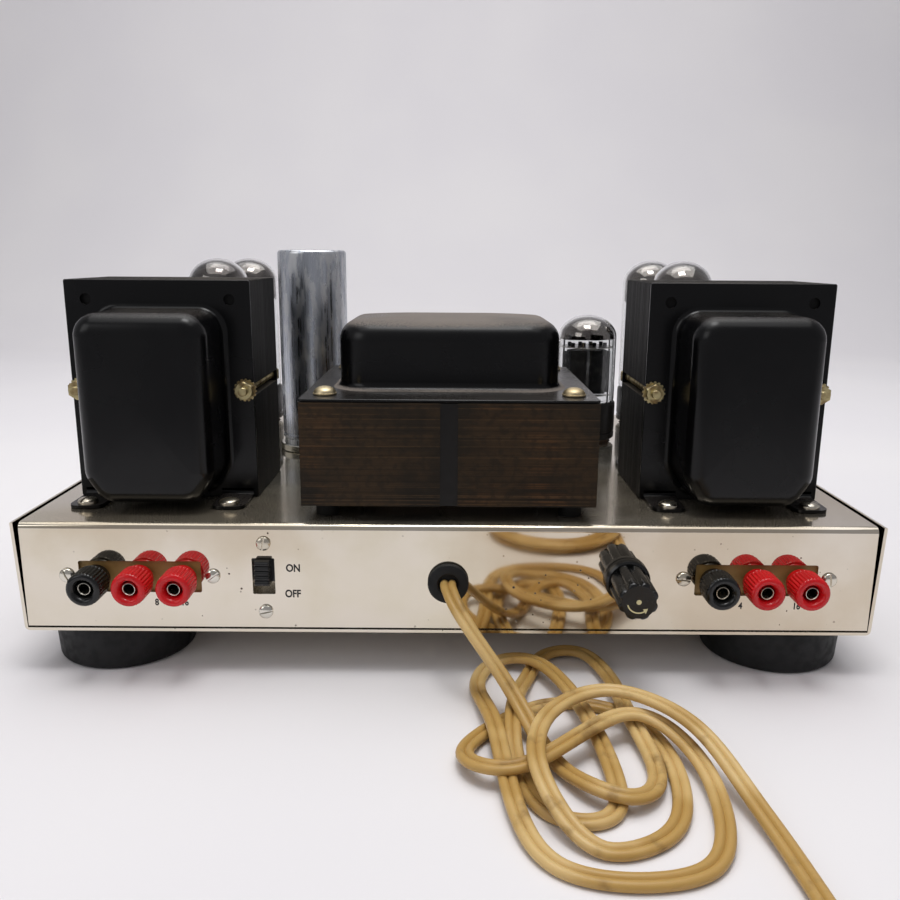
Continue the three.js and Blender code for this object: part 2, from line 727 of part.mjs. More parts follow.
function makeOutputTransformer(side, x) {
  const halfX = outputCoreWidth / 2;
  const [bottom, top] = [seatGap, seatGap + outputCoreHeight];
  const flangeBack = outputFlangeSheet + seatGap;
  const coreHalf = outputStack / 2;
  const middleZ = bottom + outputCoreHeight / 2;
  const middle = outputFront + flangeBack + coreHalf;
  const [boltX, boltZ] = [halfX - outputBoltInset, middleZ + outputBoltRise];
  const [spareX, spareZ] = [halfX - outputSpareHoleInset, top - outputSpareHoleDrop];
  const station = new THREE.Group();
  station.position.set(x, middle, deck);
  assembly.add(station);

  const windowHalf = outputWindowLength / 2;
  const through = coreHalf + cutOverrun;
  const window = (low) =>
    block([-windowHalf, -through, low], [windowHalf, through, low + outputLegWidth]);
  const notchHalf = outputBoltRadius + runGap * 2;
  const notch = (sign) => {
    const [left, right] = [boltX - notchHalf, halfX + cutOverrun]
      .map((value) => value * sign).sort((a, b) => a - b);
    return block([left, -through, boltZ - notchHalf], [right, through, boltZ + notchHalf]);
  };
  const spareHole = (sign, reach, at) => outOfTerminals(bar(outputSpareHoleRadius, -reach, reach, boltSides))
    .translate(sign * spareX, at, spareZ);
  const core = cut(
    solidOf(block([-halfX, -coreHalf, bottom], [halfX, coreHalf, top])),
    window(middleZ + outputLegWidth), window(middleZ - outputLegWidth * 2),
    notch(-1), notch(1),
    spareHole(-1, through, 0), spareHole(1, through, 0),
  );
  station.add(piece(`output_core_${side}`, core, blackIron));

  const coilX = windowHalf - outputCoilSlack;
  const coilY = coreHalf + runGap + outputCoilRise;
  const coilZ = outputLegWidth * 2 - outputCoilSlack;
  const [legY, legZ] = [coreHalf + runGap, outputLegWidth + runGap];
  const coilOutline = rectangle(-coilX, coilX, middleZ - coilZ, middleZ + coilZ);
  const coilRound = roundedOutline(coilOutline, coilOutline.map(() => outputBellCorner), 0);
  const coil = cut(
    solidOf(outOfTerminals(prism(coilRound, -coilY, coilY))),
    block([-coilX - cutOverrun, -legY, middleZ - legZ], [coilX + cutOverrun, legY, middleZ + legZ]),
  );
  station.add(piece(`output_coil_${side}`, coil, copper));

  // The bells are drawn looking at the terminal side, x across and y up
  const bellX = coilX + outputBellSide;
  const bellTop = top - outputBellDrop;
  const bellCorners = outlineOf([
    [-bellX + outputBellCutX, outputBellLow], [bellX - outputBellCutX, outputBellLow],
    [bellX, outputBellLow + outputBellCutZ], [bellX, bellTop],
    [-bellX, bellTop], [-bellX, outputBellLow + outputBellCutZ],
  ]);
  const makeBell = (name, turn) => {
    const shape = bellShape({
      corners: bellCorners,
      radii: bellCorners.map(() => outputBellCorner),
      height: outputBellDepth,
      edge: outputBellEdge,
      fillet: outputBellFillet,
      plate: outputFlangeSheet,
      steps: innerBendSteps,
    });
    const flangeFace = coreHalf + seatGap + outputFlangeSheet;
    const flangeReach = outputFlangeSheet + cutOverrun;
    const outward = (geometry) => outOfTerminals(geometry).translate(0, -flangeFace, 0);
    const tab = (sign) => {
      const tabX = halfX - outputTabInset;
      const [inner, outer] = [tabX - outputTabHalfWidth, tabX + outputTabHalfWidth]
        .map((value) => value * sign).sort((a, b) => a - b);
      const reach = flangeFace + outputTabReach;
      const outline = rectangle(inner, outer, -reach, -coreHalf - seatGap);
      const tip = [outputTabCorner, outputTabCorner, 0, 0];
      return prism(roundedOutline(outline, tip, 0), bottom, bottom + outputFlangeSheet);
    };
    const boltHole = (sign) => outOfTerminals(
      bar(outputBoltRadius + runGap, -outputFlangeSheet - cutOverrun, cutOverrun, boltSides),
    ).translate(sign * boltX, -flangeFace, boltZ);
    const shell = cut(
      join(
        block([-halfX, -flangeFace, bottom], [halfX, -coreHalf - seatGap, top]),
        outward(shape.outside), tab(-1), tab(1),
      ),
      outward(shape.inside), boltHole(-1), boltHole(1),
      spareHole(-1, flangeReach, -flangeFace), spareHole(1, flangeReach, -flangeFace),
    );
    const mesh = piece(name, shell, blackEnamel);
    mesh.rotation.z = turn;
    station.add(mesh);
  };
  makeBell(`output_bell_near_${side}`, 0);
  makeBell(`output_bell_far_${side}`, Math.PI);

  const nearSeat = coreHalf + seatGap + outputFlangeSheet + seatGap;
  const nutSeat = nearSeat + outputWasherSheet;
  const nearEnd = nutSeat + outputNutHeight + outputBoltTail;
  const bolt = [
    [0, -nearSeat - outputNutHeight],
    [outputNutRadius, -nearSeat - outputNutHeight],
    [outputNutRadius, -nearSeat],
    [outputBoltRadius, -nearSeat],
    [outputBoltRadius, nearSeat],
    [outputWasherRadius, nearSeat],
    [outputWasherRadius, nutSeat],
    [outputNutRadius, nutSeat],
    [outputNutRadius, nutSeat + outputNutHeight],
    [outputBoltRadius, nutSeat + outputNutHeight],
    [outputBoltRadius, nearEnd],
    [0, nearEnd],
  ];
  sides.forEach(({ side: rank, sign }) => {
    const shape = outOfTerminals(turned(bolt, boltSides));
    const mesh = piece(`output_bolt_${side}_${rank}`, solidOf(shape), brass);
    mesh.position.set(sign * boltX, 0, boltZ);
    station.add(mesh);
  });
}

function makeFilterCan() {
  const top = seatGap + canHeight;
  const ringTop = seatGap + canRingHeight;
  const profile = [
    [0, seatGap - canStubLength],
    [canStubRadius, seatGap - canStubLength],
    [canStubRadius, seatGap],
    [canRingRadius, seatGap],
    [canRingRadius, ringTop],
    [canRadius - canNeckDepth, ringTop],
    [canRadius - canNeckDepth, ringTop + canNeckHeight],
    [canRadius, ringTop + canNeckHeight + canNeckDepth],
    [canRadius, top - canEdge],
    [canRadius - canEdge, top],
    [0, top],
  ];
  add(piece("filter_can", solidOf(turned(profile, canSides)), aluminium), canX, canY, deck);
}

// One octal tube from the seat of its base upwards, hollow and open through the spigot
function octalTube(name, radius, height, dome) {
  const shoulder = height - dome;
  const domeArc = (r, rise, steps) => Array.from({ length: steps - 1 }, (_, i) => {
    const angle = (quarterTurn * (i + 1)) / steps;
    return [r * Math.cos(angle), shoulder + rise * Math.sin(angle)];
  });
  const inner = radius - glassWall;
  const floor = glassWall * 2;
  const profile = [
    [0, height],
    ...domeArc(radius, dome, bendSteps).reverse(),
    [radius, shoulder],
    [radius, tubeBaseHeight],
    [tubeBaseRadius, tubeBaseHeight - glassWall],
    [tubeBaseRadius, 0],
    [spigotRadius, 0],
    [spigotRadius, -spigotLength],
    [pumpHoleRadius, -spigotLength],
    [pumpHoleRadius, floor],
    [inner, floor],
    [inner, shoulder],
    ...domeArc(inner, dome - glassWall, innerBendSteps),
    [0, height - glassWall],
  ];
  return piece(name, solidOf(turned(profile, tubeSides)), bottleGlass);
}

function makeOctalTubes() {
  const seat = deck + socketRise + seatGap;
  powerTubePlaces.forEach(({ name, x, y }) => {
    add(octalTube(name, powerTubeRadius, powerTubeHeight, powerTubeDome), x, y, seat);
  });
  const rectifier = octalTube("rectifier_tube", rectifierRadius, rectifierHeight, rectifierDome);
  add(rectifier, rectifierX, rectifierY, seat);
}

function makeSocketBoards() {
  const boardTop = -chassisSheet - seatGap;
  const boardBottom = boardTop - socketBoardSheet;
  const bottom = socketRise - socketDepth;
  // The spigot hangs one gap above the well's floor, as its base sits one gap above the socket
  const wellBottom = socketRise - spigotLength;
  const margin = socketRadius + socketBoardMargin;
  sides.forEach(({ side, sign }) => {
    const sockets = socketPlaces.filter(({ x }) => x * sign > 0);
    const [near, far, third] = sockets;
    // The board's arm reaches a third socket or, where there is none, the stub of the filter can
    const arm = third ?? { x: canX, y: canY };
    const spanX = [near.x, far.x].sort((a, b) => a - b);
    const armX = [near.x, arm.x - sign * margin].sort((a, b) => a - b);
    const board = join(
      block([spanX[0] - margin, near.y - margin, boardBottom], [spanX[1] + margin, far.y + margin, boardTop]),
      block([armX[0], arm.y - margin, boardBottom], [armX[1], arm.y + margin, boardTop]),
      ...sockets.map(({ x, y }) => bar(socketRadius, bottom, socketRise, midSides).translate(x, y, 0)),
    );
    const pinRing = [
      [pinRingInner, socketRise - pinRingDepth], [pinRingOuter, socketRise - pinRingDepth],
      [pinRingOuter, socketRise + cutOverrun], [pinRingInner, socketRise + cutOverrun],
    ];
    const cutters = sockets.flatMap(({ x, y }) => [
      bar(socketKeyRadius, wellBottom, socketRise + cutOverrun, smallSides).translate(x, y, 0),
      turned(pinRing, midSides).translate(x, y, 0),
    ]);
    const canHole = bar(canStubRadius + runGap, boardBottom - cutOverrun, boardTop + cutOverrun, canSides)
      .translate(canX, canY, 0);
    add(piece(`socket_board_${side}`, cut(board, ...cutters, canHole), phenolic), 0, 0, deck);
  });
}

function makeDriverBoard() {
  const bottom = seatGap + standoffHeight;
  const top = bottom + driverBoardSheet;
  const [halfX, halfY] = [driverBoardWidth / 2, driverBoardDepth / 2];
  const socketTop = top + driverSocketHeight;
  const bore = driverSpigotRadius + runGap;
  const standoffs = [-1, 1].flatMap((sx) => [-1, 1].map((sy) =>
    bar(standoffRadius, seatGap, bottom + driverBoardSheet / 2, boltSides)
      .translate(sx * (halfX - standoffInset), sy * (halfY - standoffInset), 0)));
  const ring = (sign) => bar(bore + driverSocketWall, top - driverBoardSheet / 2, socketTop, midSides)
    .translate(sign * driverTubeX, 0, 0);
  const well = (sign) => bar(bore, top, socketTop + cutOverrun, smallSides)
    .translate(sign * driverTubeX, 0, 0);
  const board = cut(
    join(block([-halfX, -halfY, bottom], [halfX, halfY, top]), ...standoffs, ring(-1), ring(1)),
    well(-1), well(1),
  );
  add(piece("driver_board", board, boardGreen), 0, driverBoardY, deck);

  const seat = socketTop + seatGap;
  const shoulder = driverTubeHeight - driverTubeTip - driverTubeDome;
  const tipRadius = driverTubeRadius - driverTubeDome - driverTubeTip / 2;
  const bottle = [
    [0, -driverSpigotLength], [driverSpigotRadius, -driverSpigotLength], [driverSpigotRadius, 0],
    [driverTubeRadius, 0], [driverTubeRadius, shoulder],
    [driverTubeRadius - driverTubeDome / 2, shoulder + driverTubeDome],
    [tipRadius, shoulder + driverTubeDome], [0, driverTubeHeight],
  ];
  sides.forEach(({ side, sign }) => {
    const tube = piece(`driver_tube_${side}`, solidOf(turned(bottle, smallSides)), bottleGlass);
    add(tube, sign * driverTubeX, driverBoardY, deck + seat);
  });
}

function makeSpeakerTerminals() {
  const boardFront = panelBack + seatGap;
  const boardBack = boardFront + terminalBoardSheet;
  const z = deck - postDrop;
  const hole = (x) => outOfTerminals(
    bar(rodRadius + runGap, -boardBack - cutOverrun, cutOverrun - boardFront, smallSides)).translate(x, 0, 0);
  sides.forEach(({ side, sign }) => {
    const middle = sign * postGroupX;
    const [halfX, halfZ] = [terminalBoardWidth / 2, terminalBoardHeight / 2];
    const sheet = block([middle - halfX, boardFront, -halfZ], [middle + halfX, boardBack, halfZ]);
    const own = postPlaces.filter((post) => post.side === side).map(({ x }) => hole(x));
    add(piece(`terminal_board_${side}`, cut(solidOf(sheet), ...own), phenolic), 0, 0, z);
  });

  const rodFront = capReach - capMouthDepth / 2;
  const collarFront = -boardBack - postTravel - postTravelSpare;
  const rodBack = collarFront - rodCollarHeight;
  const rod = [
    [rodBore, rodFront], [rodBore, rodBack], [rodCollarRadius, rodBack],
    [rodCollarRadius, collarFront], [rodRadius, collarFront], [rodRadius, rodFront],
  ];
  const capBack = seatGap;
  const fluteShares = [0.5];
  const grip = groovedOutline(capRadius, capFluteDepth, capFlutes, fluteShares);
  const cap = () => {
    const body = loft([
      { outline: groovedOutline(capBackRadius, 0, capFlutes, fluteShares), z: capBack },
      { outline: grip, z: capReach - capFlutedLength },
      { outline: grip, z: capReach },
    ]);
    const neck = bar(capNeckRadius, seatGap - boardFront, capBack + cutOverrun, smallSides);
    const bore = bar(rodRadius + runGap, -boardBack, capReach + cutOverrun, smallSides);
    const mouth = bar(capMouthRadius, capReach - capMouthDepth, capReach + cutOverrun, smallSides);
    return outOfTerminals(geometryOf(cut(join(body, neck), bore, mouth)));
  };
  postPlaces.forEach(({ name, x, colour }) => {
    add(piece(`post_rod_${name}`, solidOf(outOfTerminals(turned(rod, smallSides))), brass), x, 0, z);
    add(piece(`post_cap_${name}`, solidOf(cap()), colour), x, 0, z);
  });
}

function makeMainsSwitch() {
  const z = deck - switchDrop;
  const plateFront = panelBack + seatGap;
  const plateBack = plateFront + switchPlateSheet;
  const bodyBack = plateBack + switchBodyDepth;
  const [halfX, slotX, slotZ] = [switchPlateWidth / 2, switchSlotWidth / 2, switchSlotHeight / 2];
  const cavityBack = plateBack + sliderShoeDepth + runGap * 2;
  const frame = cut(
    join(
      block([-halfX, plateFront, -switchPlateHeight / 2], [halfX, plateBack, switchPlateHeight / 2]),
      block([-halfX, plateFront, -switchBodyHeight / 2], [halfX, bodyBack, switchBodyHeight / 2]),
    ),
    block([-slotX, plateFront - cutOverrun, -slotZ], [slotX, cavityBack, slotZ]),
  );
  add(piece("mains_switch_frame", frame, darkPlate), switchX, 0, z);

  const sliderTop = slotZ - runGap;
  const sliderBottom = -slotZ + switchTravel + runGap;
  const ridgePitch = (sliderTop - sliderBottom) / sliderRidges;
  const shoeX = slotX - runGap;
  const grooves = Array.from({ length: sliderRidges - 1 }, (_, i) => {
    const height = sliderBottom + ridgePitch * (i + 1);
    return block(
      [-sliderWidth, -sliderReach - cutOverrun, height - sliderRidgeDepth / 2],
      [sliderWidth, sliderRidgeDepth - sliderReach, height + sliderRidgeDepth / 2],
    );
  });
  const slider = cut(
    join(
      block([-sliderWidth / 2, -sliderReach, sliderBottom], [sliderWidth / 2, plateBack, sliderTop]),
      block([-shoeX, plateFront, sliderBottom], [shoeX, plateBack + sliderShoeDepth, sliderTop]),
    ),
    ...grooves,
  );
  add(piece("mains_switch_slider", slider, blackPlastic), switchX, 0, z);
}

function makeFuse() {
  const z = deck - fuseDrop;
  const fuseFront = fuseCapReach - fuseRoof;
  const fuseBack = fuseFront - fuseLength;
  const bore = fuseRadius + runGap;
  const stemBore = fuseCapStemRadius + runGap;
  const collarTop = seatGap + fuseCollarHeight;
  const capBack = collarTop + seatGap;
  const stemBack = capBack - fuseCapStemLength;
  const nutFront = -panelBack - seatGap;
  const barrelBack = nutFront - fuseBarrelLength;
  const holder = [
    [stemBore, collarTop],
    [fuseCollarRadius - fuseCollarEdge, collarTop],
    [fuseCollarRadius, collarTop - fuseCollarEdge],
    [fuseCollarRadius, seatGap],
    [fuseBarrelRadius, seatGap],
    [fuseBarrelRadius, nutFront],
    [fuseNutRadius, nutFront],
    [fuseNutRadius, nutFront - fuseNutHeight],
    [fuseBarrelRadius, nutFront - fuseNutHeight],
    [fuseBarrelRadius, barrelBack],
    [0, barrelBack],
    [0, barrelBack + fuseFloor],
    [bore, barrelBack + fuseFloor],
    [bore, stemBack - seatGap],
    [stemBore, stemBack - seatGap],
  ];
  add(piece("fuse_holder", solidOf(outOfTerminals(turned(holder, midSides))), blackPlastic), fuseX, 0, z);

  const fuse = bar(fuseRadius, fuseBack, fuseFront - seatGap, smallSides);
  add(piece("fuse", solidOf(outOfTerminals(fuse)), fuseGlass), fuseX, 0, z);

  const lobeShares = [0.22, 0.5, 0.78];
  const lobes = groovedOutline(fuseCapRadius, fuseCapLobeDepth, fuseCapLobes, lobeShares);
  const cap = cut(
    join(
      loft([
        { outline: lobes, z: capBack },
        { outline: lobes, z: fuseCapReach },
      ]),
      bar(fuseCapStemRadius, stemBack, capBack + cutOverrun, smallSides),
    ),
    bar(bore, stemBack - cutOverrun, fuseFront, smallSides),
  );
  add(piece("fuse_cap", solidOf(outOfTerminals(geometryOf(cap))), blackPlastic), fuseX, 0, z);
}

function makeBushing() {
  const backFront = -panelBack - seatGap;
  const profile = [
    [0, bushingReach - bushingMouthDepth],
    [bushingMouthRadius, bushingReach - bushingMouthDepth],
    [bushingMouthRadius, bushingReach],
    [bushingRadius - bushingEdge, bushingReach],
    [bushingRadius, bushingReach - bushingEdge],
    [bushingRadius, seatGap],
    [bushingNeckRadius, seatGap],
    [bushingNeckRadius, backFront],
    [bushingBackRadius, backFront],
    [bushingBackRadius, backFront - bushingBackHeight],
    [0, backFront - bushingBackHeight],
  ];
  const bushing = solidOf(outOfTerminals(turned(profile, midSides)));
  add(piece("cord_bushing", bushing, rubber), 0, 0, deck - bushingDrop);
}

function makeInputJacks() {
  const z = deck - jackDrop;
  const panelInside = -chassisSheet;
  const boardFront = panelInside - seatGap;
  const boardBack = boardFront - jackBoardSheet;
  const sleeve = (sign) => turned([
    [0, boardBack - jackShoulderHeight],
    [jackShoulderRadius, boardBack - jackShoulderHeight],
    [jackShoulderRadius, boardBack],
    [jackRadius, boardBack + jackBoardSheet / 2],
    [jackRadius, jackReach],
    [jackMouthRadius, jackReach],
    [jackMouthRadius, jackReach - jackMouthDepth],
    [0, jackReach - jackMouthDepth],
  ], smallSides).translate((sign * jackSpacing) / 2, 0, 0);
  const [halfX, halfZ] = [jackBoardWidth / 2, jackBoardHeight / 2];
  const sheet = block([-halfX, -halfZ, boardBack], [halfX, halfZ, boardFront]);
  const jacks = geometryOf(join(sheet, sleeve(-1), sleeve(1)));
  add(piece("input_jacks", solidOf(outOfInputs(jacks)), nickel), 0, chassisDepth, z);
}

// The route of the lead over the bench, laid through these points by eye: x, y and height over the floor.
// Its first places hang from the bushing, at shares of the bushing's height.
const leadExit = deck - bushingDrop;
const leadRoute = [
  [0, -1.3, leadExit], [0.2, -8, leadExit * 0.995], [5.5, -18, leadExit * 0.82],
  [22, -33, leadExit * 0.33], [34.5, -60, 1.7],
  [43.5, -80, 5.4], [56.5, -87, 5.2], [67, -73, 2.4], [63.5, -35, 6], [62, -3, 3.5],
  [54, 14, 4], [40, 13.5, 2.6], [32, -4, 1.7], [24, -34, 6], [23, -66, 1.7],
  [32, -91, 1.7], [50, -91, 1.7], [47.5, -32, 6], [32.5, 3, 5.8], [18.5, 4.5, 3.6],
  [11.5, -8.5, 1.7], [15.8, -42, 5.6], [30, -112, 1.7], [73, -112, 1.7], [82, -67, 5],
  [66, -44.5, 9.5], [21, -74.5, 7], [7.5, -70, 6], [6.5, -55, 2.6], [38, -25.5, 1.7],
  [63, -31, 1.7], [74, -60, 1.7], [66, -97, 1.7], [43, -106, 1.7], [28, -79, 10.5],
  [35, -49, 12.2], [57, -35.5, 13.3], [80, -55, 13.3], [93, -92, 4.4], [100, -169.5, 1.7],
];

// The frame of a flat cord at one place: its width level, its thickness as upright as it can be
function levelFrame(along) {
  const across = new THREE.Vector3(0, 0, 1).cross(along).normalize();
  const over = along.clone().cross(across);
  return { across, over };
}

// A spline through the route, each place drawn towards the middle of the places just before and after it
class LeadCurve extends THREE.Curve {
  constructor(points) {
    super();
    this.arcLengthDivisions = points.length * coilStepsPerTurn;
    this.spline = new THREE.CatmullRomCurve3(points);
    this.spline.arcLengthDivisions = this.arcLengthDivisions;
    this.reach = cordSmoothing / this.spline.getLength();
  }

  getPoint(t, target = new THREE.Vector3()) {
    const reach = Math.min(this.reach, t, 1 - t);
    const [before, here, after] = [t - reach, t, t + reach].map((u) => this.spline.getPointAt(u));
    target.addVectors(before, after).divideScalar(2).add(here).divideScalar(2);
    target.z = Math.max(target.z, cordRest);
    return target;
  }

  computeFrenetFrames(segments) {
    const tangents = Array.from({ length: segments + 1 }, (_, i) => this.getTangentAt(i / segments));
    const frames = tangents.map(levelFrame);
    const normals = frames.map(({ across }) => across);
    const binormals = frames.map(({ over }) => over);
    return { tangents, normals, binormals };
  }
}

function makeLead() {
  const [halfWidth, halfThickness] = [cordWidth / 2, cordThickness / 2];
  const flat = rectangle(-halfWidth, halfWidth, -halfThickness, halfThickness);
  const section = new THREE.Shape(roundedOutline(flat, flat.map(() => cordEdge), 0, chamferSteps));
  const curve = new LeadCurve(leadRoute.map(([x, y, z]) => new THREE.Vector3(x, y, z)));
  const lead = new THREE.ExtrudeGeometry(section, { steps: cordSteps, extrudePath: curve });
  add(piece("cord", solidOf(lead), cordVinyl));
  return curve.getLength();
}

// The coil winds in on the floor, climbs while it turns back and winds out on top of itself
function makeCoil() {
  const [halfWidth, halfThickness] = [cordWidth / 2, cordThickness / 2];
  const halfFlat = halfWidth - halfThickness;
  const section = [
    [-halfWidth, 0], [-halfFlat, -halfThickness], [halfFlat, -halfThickness],
    [halfWidth, 0], [halfFlat, halfThickness], [-halfFlat, halfThickness],
  ];
  const layer = cordThickness + coilGap;
  const climbStart = (coilTurns - coilClimbTurns) / 2;
  const place = (turn) => {
    const radius = coilOuterRadius - (cordWidth + coilGap) * Math.min(turn, coilTurns - turn);
    const angle = -turn * fullTurn;
    const climbed = THREE.MathUtils.clamp((turn - climbStart) / coilClimbTurns, 0, 1);
    const rise = (layer * (1 - Math.cos(climbed * Math.PI))) / 2;
    return new THREE.Vector3(radius * Math.cos(angle), radius * Math.sin(angle), cordRest + rise);
  };
  const count = coilTurns * coilStepsPerTurn;
  const turns = Array.from({ length: count + 1 }, (_, i) => place(i / coilStepsPerTurn));
  const onward = new THREE.Vector3(0, -1, 0);
  const start = turns[0].clone().addScaledVector(onward, -cordWidth);
  const end = turns[count].clone().addScaledVector(onward, coilTail);
  const centres = [start, ...turns, end];
  const alongAt = (i) => {
    const [before, after] = [centres[i - 1], centres[i + 1]];
    return before && after ? after.clone().sub(before).normalize() : onward;
  };
  const ringAt = (i, outline) => {
    const { across, over } = levelFrame(alongAt(i));
    return outline.map(([x, y]) => centres[i].clone().addScaledVector(across, x).addScaledVector(over, y));
  };
  const coil = skin(centres.map((_, i) => ringAt(i, section)));
  add(piece("cord_coil", solidOf(coil), cordVinyl), coilX, coilY);

  // The least gap between turns, measured on points along every ring
  const sampleShares = [0, 0.25, 0.5, 0.75];
  const samples = section.flatMap(([x, y], i) => {
    const [nextX, nextY] = section[(i + 1) % section.length];
    return sampleShares.map((share) => [x + (nextX - x) * share, y + (nextY - y) * share]);
  });
  const rings = centres.map((_, i) => ringAt(i, samples));
  const apart = coilStepsPerTurn / 2;
  let least = Infinity;
  rings.forEach((ring, i) => rings.slice(i + apart).forEach((other) => {
    ring.forEach((p) => other.forEach((q) => {
      least = Math.min(least, p.distanceTo(q));
    }));
  }));
  console.log(`cord_coil least gap to itself ${least.toFixed(2)} mm`);
  const length = centres.slice(1).reduce((sum, p, i) => sum + p.distanceTo(centres[i]), 0);
  return { length, end };
}

function makePlug(end) {
  const outline = (width, height) => {
    const flat = rectangle(-width / 2, width / 2, -height / 2, height / 2);
    return roundedOutline(flat, flat.map(() => plugCorner * (height / plugHeight)), 0, innerBendSteps);
  };
  const shoulder = plugNeck + plugShoulder;
  const bodyEnd = plugNeck + plugLength;
  const body = loft([
    { outline: outline(plugNeckWidth, plugNeckHeight), z: 0 },
    { outline: outline(plugNeckWidth, plugNeckHeight), z: plugNeck },
    { outline: outline(plugWidth, plugHeight), z: shoulder },
    { outline: outline(plugWidth, plugHeight), z: bodyEnd },
  ]);
  const blades = [-1, 1].map((sign) => {
    const x = (sign * bladeSpacing) / 2;
    return block(
      [x - bladeSheet / 2, -bladeWidth / 2, bodyEnd - cutOverrun],
      [x + bladeSheet / 2, bladeWidth / 2, bodyEnd + bladeLength],
    );
  });
  const plug = outOfTerminals(geometryOf(join(body, ...blades)));
  add(piece("plug", solidOf(plug), blackPlastic), coilX + end.x, coilY + end.y - seatGap, end.z);
}

makeChassis();
makeBottomCover();
makeFeet();
makePowerTransformer();
sides.forEach(({ side, sign }) => makeOutputTransformer(side, sign * outputOffset));
makeFilterCan();
makeOctalTubes();
makeSocketBoards();
makeDriverBoard();
makeSpeakerTerminals();
makeMainsSwitch();
makeFuse();
makeBushing();
makeInputJacks();
const leadLength = makeLead();
const coil = makeCoil();
makePlug(coil.end);
console.log(`cord ${leadLength.toFixed(0)} mm free, ${coil.length.toFixed(0)} mm in its coil`);

const amplifier = new THREE.Group();
amplifier.add(assembly);
export default amplifier;
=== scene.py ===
# %% [markdown]
# # A stereo tube amplifier, dressed for its picture
#
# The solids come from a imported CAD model, which is the fixed frame here: every piece below sits where its
# solid sits. CAD surfaces are plain and faceted, so each piece that shows is made again as a fine surface,
# worked out with numpy, and gets a finish made from shader nodes. Shapes are worked out in millimetres:
# x to the right, y away from the terminal panel, z up from the deck.

# %% Load the fixed frame
import json
from math import cos, pi, radians, sin

import bmesh
import bpy
import numpy as np
from mathutils import Matrix, Vector


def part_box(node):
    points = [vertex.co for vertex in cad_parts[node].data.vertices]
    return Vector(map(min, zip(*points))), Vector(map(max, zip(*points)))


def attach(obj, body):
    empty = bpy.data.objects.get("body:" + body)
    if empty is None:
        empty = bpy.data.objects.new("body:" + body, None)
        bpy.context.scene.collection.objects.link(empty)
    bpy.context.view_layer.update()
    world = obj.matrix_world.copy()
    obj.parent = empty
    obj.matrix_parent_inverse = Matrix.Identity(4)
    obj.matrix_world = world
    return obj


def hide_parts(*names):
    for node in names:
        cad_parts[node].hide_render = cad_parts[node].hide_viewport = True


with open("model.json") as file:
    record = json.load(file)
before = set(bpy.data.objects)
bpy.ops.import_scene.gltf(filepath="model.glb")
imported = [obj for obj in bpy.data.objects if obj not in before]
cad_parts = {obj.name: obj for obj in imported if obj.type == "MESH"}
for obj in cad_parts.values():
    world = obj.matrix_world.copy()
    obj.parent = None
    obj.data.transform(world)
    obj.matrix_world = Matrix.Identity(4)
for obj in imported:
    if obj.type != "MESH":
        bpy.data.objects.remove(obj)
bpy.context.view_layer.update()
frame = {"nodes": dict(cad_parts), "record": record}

MM = 0.001
chassis_low, chassis_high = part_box("chassis")
DECK = chassis_high.z / MM
PANEL = chassis_low.y / MM
SIDES = (("left", -1), ("right", 1))
ENDS = (("near", -1), ("far", 1))
CORNERS = [(x, y) for x in (-1, 1) for y in (-1, 1)]
slot_of = {row["node"]: row["material_slot"] for row in frame["record"]["subparts"]}
body_of = {node: name for name, nodes in frame["record"]["behaviour"]["bodies"].items() for node in nodes}


def linked(name, data):
    """A new object, linked to the scene."""
    obj = bpy.data.objects.new(name, data)
    bpy.context.scene.collection.objects.link(obj)
    return obj


print(f"deck {DECK:.1f} mm over the floor, panel at y {PANEL:.1f} mm")

# %% [markdown]
# ## The camera
#
# The photograph was taken from a little over half a metre away, slightly above the deck. A pinhole fitted to
# the chassis edges gives the place, the tilt and the lens. A camera looks down its own -Z, so the third of
# its three axes is the backward one.

# %% Make the camera at the photograph's angle
CAMERA_PLACE = (0.3, -423.75, 162.88)
CAMERA_PITCH, CAMERA_YAW, CAMERA_ROLL = 12.862, 0.011, 0.381
FOCAL_PIXELS, IMAGE_PIXELS, SENSOR = 846.27, 900, 36

pitch, yaw, roll = radians(CAMERA_PITCH), radians(CAMERA_YAW), radians(CAMERA_ROLL)
forward = Vector((sin(yaw) * cos(pitch), cos(yaw) * cos(pitch), -sin(pitch)))
level_right = Vector((cos(yaw), -sin(yaw), 0))
level_up = level_right.cross(forward)
camera_right = cos(roll) * level_right + sin(roll) * level_up
camera_up = cos(roll) * level_up - sin(roll) * level_right
camera = linked("photo_camera", bpy.data.cameras.new("photo_camera"))
camera.data.sensor_width = SENSOR
camera.data.lens = FOCAL_PIXELS / IMAGE_PIXELS * SENSOR
axes = Matrix((camera_right, camera_up, -forward)).transposed()
camera.matrix_world = Matrix.Translation(Vector(CAMERA_PLACE) * MM) @ axes.to_4x4()
bpy.context.scene.camera = camera
print(f"lens {camera.data.lens:.2f} mm")

# %% [markdown]
# ## Tools for surfaces
#
# Nearly everything on an amplifier is turned, drawn or extruded, so it is a grid of points: rings of points
# all round, one ring after the other. Two functions turn rings into surfaces, and a third works out the
# rings of a lathe. A shape is an array of points with a list of faces.

# %% Surfaces from rings of points
ROUND_SIDES, SMALL_SIDES = 64, 32


def skin_over(rings):
    """Quads between each ring and the next, all the way round, with nothing on the two ends."""
    rings = np.asarray(rings, float)
    rows, columns = rings.shape[:2]
    row, column = np.mgrid[0:rows - 1, 0:columns]
    first, second = row * columns + column, row * columns + (column + 1) % columns
    faces = np.stack([first, second, second + columns, first + columns], -1)
    return rings.reshape(-1, 3), faces.reshape(-1, 4).tolist()


def shell(rings):
    """The same, closed by one flat face on the first and one on the last ring."""
    points, faces = skin_over(rings)
    count = len(rings[0])
    return points, faces + [list(range(count))[::-1], list(range(len(points) - count, len(points)))]


